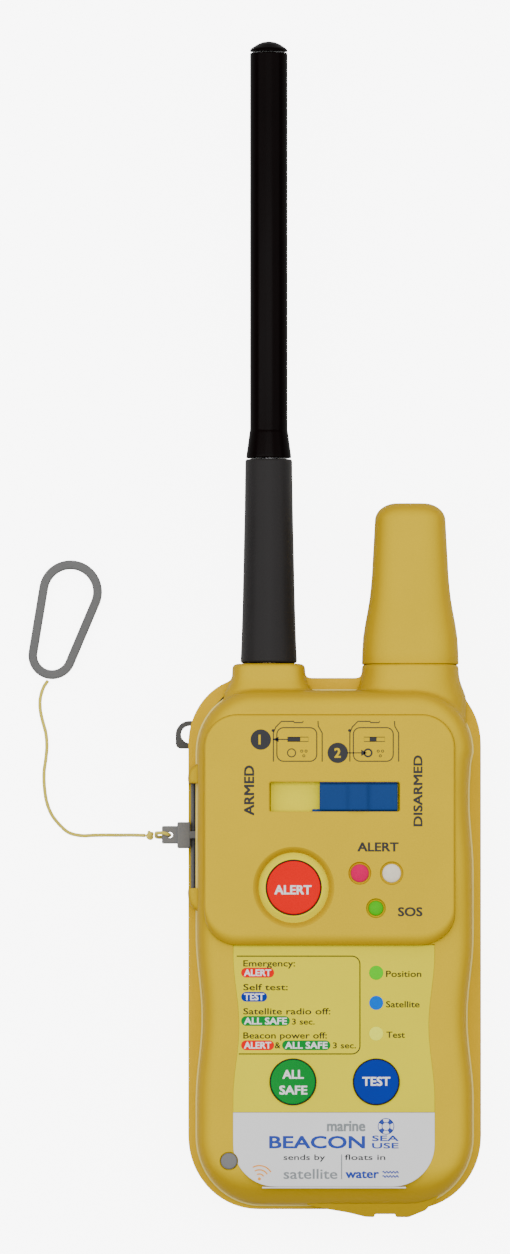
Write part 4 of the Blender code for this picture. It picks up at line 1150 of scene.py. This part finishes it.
def make_whip():
    """The sleeve, the rod with its conical foot and its own strip light, and the tip."""
    centre = axis_of("antenna_whip")
    low, high = span("antenna_sleeve")
    profile = [(7.7, low.y), (8.1, low.y + 0.4), (8.1, low.y + 1.2), (7.9, 86.0), (7.55, 97.0)]
    profile += [(6.95, 125.0), (6.75, high.y - 0.5), (6.45, high.y), (CORE_BORE, high.y)]
    profile += [(CORE_BORE, 94.0), (3.6, 93.0), (3.6, low.y)]
    sleeve = turned_along("whip_sleeve", profile, 0.3, centre, "antenna_satin", True)
    show(sleeve, "casing", "antenna_satin", "antenna_sleeve")
    low, high = span("antenna_whip")
    profile = [(CORE_BORE, low.y), (6.35, low.y), (6.5, low.y + 0.2), (6.45, low.y + 0.8)]
    profile += [(5.55, 147.0), (5.4, 147.7), (5.4, high.y - 0.15), (5.3, high.y)]
    profile.append((CORE_BORE, high.y))
    rod = turned_along("whip_rod", profile, 0.25, centre, "antenna_gloss", True)
    light_only(make_light(*STRIP_LIGHT), rod)
    show(rod, "casing", "antenna_gloss", "antenna_whip")
    low, high = span("antenna_tip")
    profile = [(0, low.y), (5.3, low.y), (5.4, low.y + 0.15), (5.4, low.y + 0.5)]
    profile += [(5.1, low.y + 1.0), (3.3, high.y - 0.9), (1.8, high.y - 0.25), (0, high.y)]
    tip = turned_along("whip_cap", profile, 0.35, centre, "antenna_gloss")
    show(tip, "casing", "antenna_gloss", "antenna_tip")


def make_radome():
    """The satellite antenna's hollow cover: rows hold (y, half its width)."""
    centre = axis_of("satellite_radome")
    foot = span("satellite_radome")[0].y
    rows = [(foot, 13.75), (foot + 0.25, 13.9), (84.0, 13.8), (88.0, 13.55), (92.0, 12.95)]
    rows += [(96.0, 12.2), (99.0, 11.7), (102.0, 11.35), (106.0, 11.0), (110.0, 10.8)]
    rows += [(114.0, 10.57), (117.0, 10.4), (120.0, 10.25), (121.6, 10.15)]
    tip_y, tip_half = rows[-1]
    tip = [(tip_y + 5.0 * sine, tip_half - 6.2 * fall) for fall, sine in quarter_turn(10, 1)[:-1]]
    outer = [oval(centre, half, half * 0.88, y, 3.0) for y, half in rows + tip]
    inner = [oval(centre, half - 1.8, half * 0.88 - 1.8, y, 3.0) for y, half in rows]
    radome = new_object("radome", skin([*reversed(outer), *inner]), "front_yellow")
    show(radome, "casing", "front_yellow", "satellite_radome")


# ---------------------------------------------------------------- release gear and fasteners


def make_release():
    """The pull tab, whose jaws grip the bar, and the bar."""
    y, z = TAB_Y, TAB_Z
    low, high = span("pull_tab")
    clip = (-45.2, low.y, low.z), (-41.4, high.y, high.z)
    tab = soft_box("pull_clip", *clip, 0.5, "tab_grey")
    tail = soft_box("clip_tail", (low.x, 29.0, z - 2.0), (-44.4, 34.1, z + 2.0), 0.45)
    hook = (-43.4, y - 1.1, low.z + 0.3), (high.x, y + 1.1, high.z - 0.1)
    combine(tab, [tail, soft_box("clip_hook", *hook, 0.5)], "UNION")
    jaws = plain_box("clip_jaws", (-42.2, y - 3, z - 1.1), (-37.0, y + 3, z + 1.1))
    cord_hole = plate("clip_hole", circle((TAB_HOLE_X, y), 0.85, 32), low.z - 1, high.z + 1)
    combine(tab, [jaws, cord_hole])
    show(tab, "release", "fitting_grey", "pull_tab")
    low, high = span("retaining_bar")
    place, r = middle("retaining_bar"), radius_of("retaining_bar")
    profile = eased([(0, low.y), (r, low.y), (r, high.y), (0, high.y)], 0.2)
    bar = turned("slot_bar", profile, (place.x, place.z), "fitting_grey", "Y", 40)
    show(bar, "casing", "steel", "retaining_bar")


def make_lug():
    """The flat lug with its eye, held by one of the case screws."""
    low, high = span("lanyard_lug")
    outline = rounded(low, high, [(3.8, 3.8), (4.0, 4.0), (1.6, 1.6), (3.8, 3.8)])
    edge = ((0.0, 0.5), (0.15, 0.15), (0.5, 0.0))
    levels = [(low.z + rise, inset) for rise, inset in edge]
    levels += [(high.z - rise, inset) for rise, inset in reversed(edge)]
    lug = dished("eye_plate", outline, levels, "lug_grey")
    cutters = [plate("eye", circle((-41.6, 60.6), 2.5), 0.0, 12.0)]
    cutters.append(plate("eye_screw", circle(middle("case_screw_1"), 1.75, 32), 0.0, 12.0))
    show(combine(lug, cutters), "casing", "fitting_grey", "lanyard_lug")


def make_screws():
    for node in SCREWS:
        low, high = span(node)
        profile = [(0, low.z), (2.35, low.z), (2.75, low.z + 0.4), (2.75, low.z + 2.0)]
        profile += [(1.45, low.z + 2.0), (1.45, high.z - 0.8), (0.9, high.z), (0, high.z)]
        name = node.removeprefix("case_")
        screw = turned(name, eased(profile, 0.15), middle(node), "steel", steps=48)
        combine(screw, [plate("drive", circle(middle(node), 1.1, 6), -1.0, 1.5)])
        show(screw, "casing", "steel", node)


# ---------------------------------------------------------------- print

FONT_CAP = 0.69
PRINT_DEPTH = 0.02
BOLD_SHIFT = (0.042, 0.030)
LIGHT_SHIFT = (0.022, 0.016)
STRIKES = ((0, 0), (2, 0), (0, 2), (2, 2), (1, 1))
STRIKE_RISE = 0.3
PRINT_GAP = 0.006
LINE = 0.30

# What is printed on, and its body
PRINTED_ON = {
    "panel_cover": "casing",
    "keypad_foil": "casing",
    "info_label": "casing",
    "alert_button": "alert_key",
    "safe_button": "safe_key",
    "test_button": "test_key",
}

# The material slot listed for each ink, which show is handed but does not use; for a button's
# colour the colour itself is listed
INK_SLOTS = {
    "ink_dark": "rubber_black",
    "ink_white": "label_grey",
    "ink_grey": "fitting_grey",
    "ink_blue": "test_blue",
    "ink_olive": "rubber_black",
    "ink_orange": "front_yellow",
}

# Words by surface and ink: text, left end, baseline, cap height, width, and whether it is bold
WORDS = {
    ("panel_cover", "ink_dark"): [
        ("ALERT", 6.4, 26.3, 2.65, 11.8, True),
        ("SOS", 18.0, 7.8, 2.6, 7.0, True),
    ],
    ("alert_button", "ink_white"): [
        ("ALERT", -17.3, 14.05, 2.65, 10.6, True),
    ],
    ("safe_button", "ink_white"): [
        ("ALL", -15.0, -38.6, 2.55, 6.1, True),
        ("SAFE", -15.9, -43.1, 2.55, 8.0, True),
    ],
    ("test_button", "ink_white"): [
        ("TEST", 7.8, -40.6, 2.55, 8.0, True),
    ],
    ("keypad_foil", "ink_olive"): [
        ("Emergency:", -26.2, -6.5, 1.8, 14.8, False),
        ("Self test:", -26.2, -13.3, 1.8, 12.7, False),
        ("Satellite radio off:", -26.2, -20.2, 1.8, 24.9, False),
        ("Beacon power off:", -26.2, -27.1, 1.8, 23.9, False),
        ("3 sec.", -12.3, -23.1, 1.7, 6.5, False),
        ("3 sec.", -0.6, -29.9, 1.7, 6.6, False),
        ("&", -17.2, -29.9, 1.8, 1.6, False),
        ("Position", 14.6, -9.5, 1.8, 10.1, False),
        ("Satellite", 14.6, -18.2, 1.8, 9.6, False),
        ("Test", 14.7, -26.9, 1.8, 5.3, False),
    ],
    ("info_label", "ink_blue"): [
        ("BEACON", -18.8, -58.5, 3.6, 27.4, True),
        ("SEA", 10.6, -56.4, 1.6, 7.6, True),
        ("USE", 10.6, -58.5, 1.6, 7.6, True),
        ("water", 3.0, -67.0, 2.6, 9.6, True),
    ],
    ("info_label", "ink_grey"): [
        ("marine", -2.3, -53.6, 3.2, 11.0, True),
        ("satellite", -14.7, -67.2, 2.9, 15.4, False),
    ],
    ("info_label", "ink_dark"): [
        ("sends by", -14.7, -61.8, 1.6, 11.9, False),
        ("floats in", 2.8, -61.8, 1.6, 11.6, False),
    ],
}

# Words that read up the cover: text, baseline x, lower end, cap height, width
UPRIGHT_WORDS = [("ARMED", -23.1, 36.6, 2.9, 14.3), ("DISARMED", 25.0, 33.5, 2.6, 20.3)]

# White words on coloured pills: colour, text, the pill's left, right and lower edge,
# and the text's left end and width
PILLS = [
    ("alert_red", "ALERT", -26.8, -17.4, -9.65, -26.0, 7.8),
    ("test_blue", "TEST", -26.8, -19.4, -16.55, -26.0, 5.8),
    ("safe_green", "ALL SAFE", -26.8, -12.9, -23.45, -26.0, 12.3),
    ("alert_red", "ALERT", -26.8, -17.4, -30.4, -26.0, 7.8),
    ("safe_green", "ALL SAFE", -15.1, -1.3, -30.4, -14.3, 12.2),
]
PILL_INKS = ("alert_red", "test_blue", "safe_green")
PILL_HEIGHT = 2.75
STEP_DISCS = [("1", -21.2, 58.3), ("2", 0.8, 54.5)]
STEP_RADIUS = 2.92
PICTOGRAM_SHIFT = 21.86


class Sheet:
    """The print on one surface in one ink: thin shapes in millimetres, made into one piece."""

    def __init__(self, name, surface, ink, layer=1):
        self.name = name
        self.surface = surface
        self.ink = ink
        self.level = span(surface)[1].z + PRINT_DEPTH * (layer - 1) + PRINT_GAP
        self.bm = bmesh.new()

    def take(self, bm, turn=0.0, scale=(1.0, 1.0, 1.0), place=(0.0, 0.0)):
        matrix = Matrix.Translation((*place, self.level))
        matrix = matrix @ Matrix.Rotation(turn, 4, "Z") @ Matrix.Diagonal((*scale, 1.0))
        bmesh.ops.transform(bm, matrix=matrix, verts=bm.verts)
        mesh = bpy.data.meshes.new("shape")
        bm.to_mesh(mesh)
        bm.free()
        self.bm.from_mesh(mesh)
        bpy.data.meshes.remove(mesh)

    def word(self, text, x, y, cap, width=None, bold=True, upwards=False):
        """A word struck several times with small shifts, which thickens its strokes.

        Each strike is a little higher than the one before, so that no two faces coincide.
        """
        across, up = [cap * share for share in (BOLD_SHIFT if bold else LIGHT_SHIFT)]
        bm, length = letters(text)
        tall = (cap - 2 * up) / FONT_CAP
        wide = (width - 2 * across) / length if width else tall
        turn = math.pi / 2 if upwards else 0.0
        for i, (u, v) in enumerate(STRIKES):
            shift = (-v * up, u * across) if upwards else (u * across, v * up)
            scale = (wide, tall, PRINT_DEPTH * (1 + STRIKE_RISE * i))
            self.take(bm.copy(), turn, scale, (x + shift[0], y + shift[1]))
        bm.free()

    def area(self, outline):
        self.take(skin([[(x, y, z) for x, y in outline] for z in (0.0, PRINT_DEPTH)]))

    def line(self, points, width=LINE, closed=False):
        points = [Vector((p[0], p[1], 0.0)) for p in points]
        rings = []
        for i, point in enumerate(points):
            ahead = points[(i + 1) % len(points)] if closed or i + 1 < len(points) else point
            behind = points[i - 1] if closed or i else point
            along = (ahead - behind).normalized()
            side = Vector((-along.y, along.x, 0.0)) * width / 2
            up = Vector((0.0, 0.0, PRINT_DEPTH))
            rings.append([point - side, point + side, point + side + up, point - side + up])
        self.take(skin(rings, closed))

    def ring(self, centre, radius, width=LINE):
        self.line(circle(centre, radius, 40), width, closed=True)

    def done(self):
        piece = new_object(self.name, self.bm, self.ink)
        show(piece, PRINTED_ON[self.surface], INK_SLOTS.get(self.ink, self.ink))


def letters(text):
    """The word's outlines one unit deep, starting at x = 0, with the word's length."""
    curve = bpy.data.curves.new("word", "FONT")
    curve.body = text
    curve.resolution_u = 3
    curve.extrude = 0.5
    source = bpy.data.objects.new("word", curve)
    add_to_scene(source)
    bpy.context.view_layer.update()
    graph = bpy.context.evaluated_depsgraph_get()
    mesh = bpy.data.meshes.new_from_object(source.evaluated_get(graph))
    bm = bmesh.new()
    bm.from_mesh(mesh)
    bpy.data.objects.remove(source)
    bpy.data.meshes.remove(mesh)
    ends = [v.co.x for v in bm.verts]
    bmesh.ops.translate(bm, vec=(0.0, 0.0, curve.extrude), verts=bm.verts)
    bmesh.ops.translate(bm, vec=(-min(ends), 0.0, 0.0), verts=bm.verts)
    return bm, max(ends) - min(ends)


def print_words():
    for (surface, ink), words in sorted(WORDS.items()):
        sheet = Sheet("words_" + surface + "_" + ink[4:], surface, ink)
        for word in words:
            sheet.word(*word)
        if (surface, ink) == ("panel_cover", "ink_dark"):
            for word in UPRIGHT_WORDS:
                sheet.word(*word, upwards=True)
        sheet.done()


def print_pills():
    """Coloured pills that stand for the buttons, with their words one layer above."""
    white = Sheet("pill_words", "keypad_foil", "ink_white", layer=2)
    for ink in PILL_INKS:
        sheet = Sheet("pills_" + ink, "keypad_foil", ink)
        for colour, text, left, right, foot, start, width in PILLS:
            if colour == ink:
                half = PILL_HEIGHT / 2
                sheet.area(square_rounded((left, foot), (right, foot + PILL_HEIGHT), half, 10))
                white.word(text, start, foot + 0.4, 1.95, width)
        sheet.done()
    white.done()


def print_box():
    """The frame round the instructions, open on its left."""
    sheet = Sheet("instruction_frame", "keypad_foil", "ink_olive")
    radius, right, high, low = 2.3, 7.15, -3.55, -31.5
    top = corner((right - radius, high - radius), (radius, radius), 0)
    bottom = corner((right - radius, low + radius), (radius, radius), 270)
    sheet.line([(-28.1, high), *reversed(top), *reversed(bottom), (-27.5, low)], 0.32)
    sheet.done()


def pictogram(sheet, shift):
    """The upper end of the beacon with its panel, slider, button and lamps."""
    left, right = -17.6 + shift, -3.65 + shift
    shoulder = [(left + 0.7, 61.9), (left + 2.3, 63.5), (left + 5.7, 63.5)]
    sheet.line([(left, 52.0), (left, 60.2), *shoulder])
    sheet.line([(left + 5.7, 63.6), (left + 5.95, 63.15), (left + 8.3, 63.15), (left + 8.55, 63.6)])
    sheet.line([(right - 1.2, 63.6), (right - 1.1, 62.1), (right, 60.2), (right, 52.0)])
    sheet.area(circle((left - 0.1, 60.9), 0.42, 20))
    panel = square_rounded((left + 1.0, 52.1), (left + 12.4, 61.7), 1.9, 6)
    sheet.line(panel, closed=True)
    start, end = left + 4.05, left + 10.0
    slot = [(start, 57.75), (end, 57.75), (end, 59.0), (start, 59.0)]
    sheet.line(slot, 0.2, closed=True)
    for dot in ((left + 8.1, 55.0), (left + 9.35, 55.0), (left + 8.7, 53.65)):
        sheet.ring(dot, 0.32, 0.2)


def print_pictograms():
    """How to set it off: slide the slider left, then press the button."""
    sheet = Sheet("pictograms", "panel_cover", "ink_dark")
    pictogram(sheet, 0.0)
    sheet.area(square_rounded((-13.55, 57.75), (-9.9, 59.0), 0.1, 2))
    sheet.ring((-12.4, 54.5), 1.15)
    sheet.line([(-13.5, 58.35), (-17.0, 58.35)])
    sheet.area([(-17.9, 58.35), (-16.1, 57.6), (-16.1, 59.1)])
    pictogram(sheet, PICTOGRAM_SHIFT)
    sheet.area(square_rounded((9.9, 57.75), (11.9, 59.0), 0.1, 2))
    sheet.ring((-12.4 + PICTOGRAM_SHIFT, 54.5), 1.05, 0.5)
    sheet.line([(3.6, 54.5), (7.6, 54.5)])
    sheet.area([(9.2, 54.5), (7.5, 53.6), (7.5, 55.4)])
    for _, x, y in STEP_DISCS:
        sheet.area(circle((x, y), STEP_RADIUS, 48))
    sheet.done()
    digits = Sheet("step_digits", "panel_cover", "front_yellow", layer=2)
    for digit, x, y in STEP_DISCS:
        digits.word(digit, x - (0.65 if digit == "1" else 1.0), y - 1.4, 2.8)
    digits.done()


def print_label_marks():
    """A life ring, radio waves, water and a divider, in plain shapes."""
    blue = Sheet("label_marks_blue", "info_label", "ink_blue")
    centre = (14.6, -52.2)
    blue.ring(centre, 2.25, 0.22)
    blue.ring(centre, 1.15, 0.22)
    for start in (25, 115, 205, 295):
        blue.line(corner(centre, (1.7, 1.7), start, 10, 40), 1.1)
    for row in (0, 1):
        wave = [(13.6 + 0.2 * k, -65.3 - 1.2 * row + 0.28 * math.sin(1.3 * k)) for k in range(24)]
        blue.line(wave, 0.35)
    blue.done()
    orange = Sheet("label_marks_orange", "info_label", "ink_orange")
    source = (-21.6, -67.2)
    for radius in (1.4, 2.6, 3.8):
        orange.line(corner(source, (radius, radius), 30, 15), 0.4)
    orange.area(circle(source, 0.45, 24))
    orange.done()
    grey = Sheet("label_marks_grey", "info_label", "ink_grey")
    grey.line([(1.9, -60.2), (1.9, -67.3)], 0.3)
    grey.done()


def make_print():
    print_words()
    print_pills()
    print_box()
    print_pictograms()
    print_label_marks()


DOMES = ("alert_dome", "safe_dome", "test_dome")


def finish_hidden_nodes():
    """Better materials for the CAD nodes that keep their own shape, inside the casing."""
    finishes = {
        "rubber_black": ("shell_gasket", "antenna_o_ring", "antenna_lead"),
        "steel": ("slider_magnet", "antenna_core", "shield_can", *DOMES),
        "brass": ("antenna_stud", "antenna_socket"),
        "ceramic": ("satellite_antenna", "positioning_antenna"),
        "board_green": ("main_board",),
        "reed_glass": ("slider_reed_switch", "tab_reed_switch"),
        "cell_wrap": [f"battery_cell_{i}" for i in range(1, 5)],
    }
    for name, nodes in finishes.items():
        for node in nodes:
            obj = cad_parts[node]
            obj.data.materials.clear()
            obj.data.materials.append(FINISHES[name])


FINISHES = make_finishes()
make_camera()
make_studio()
make_lanyard()
make_front()
make_rear()
make_rim()
make_slot_shadow()
make_cover()
make_foils()
make_lenses()
make_buttons()
make_slider()
make_contact()
make_whip()
make_radome()
make_release()
make_lug()
make_screws()
make_print()
finish_hidden_nodes()
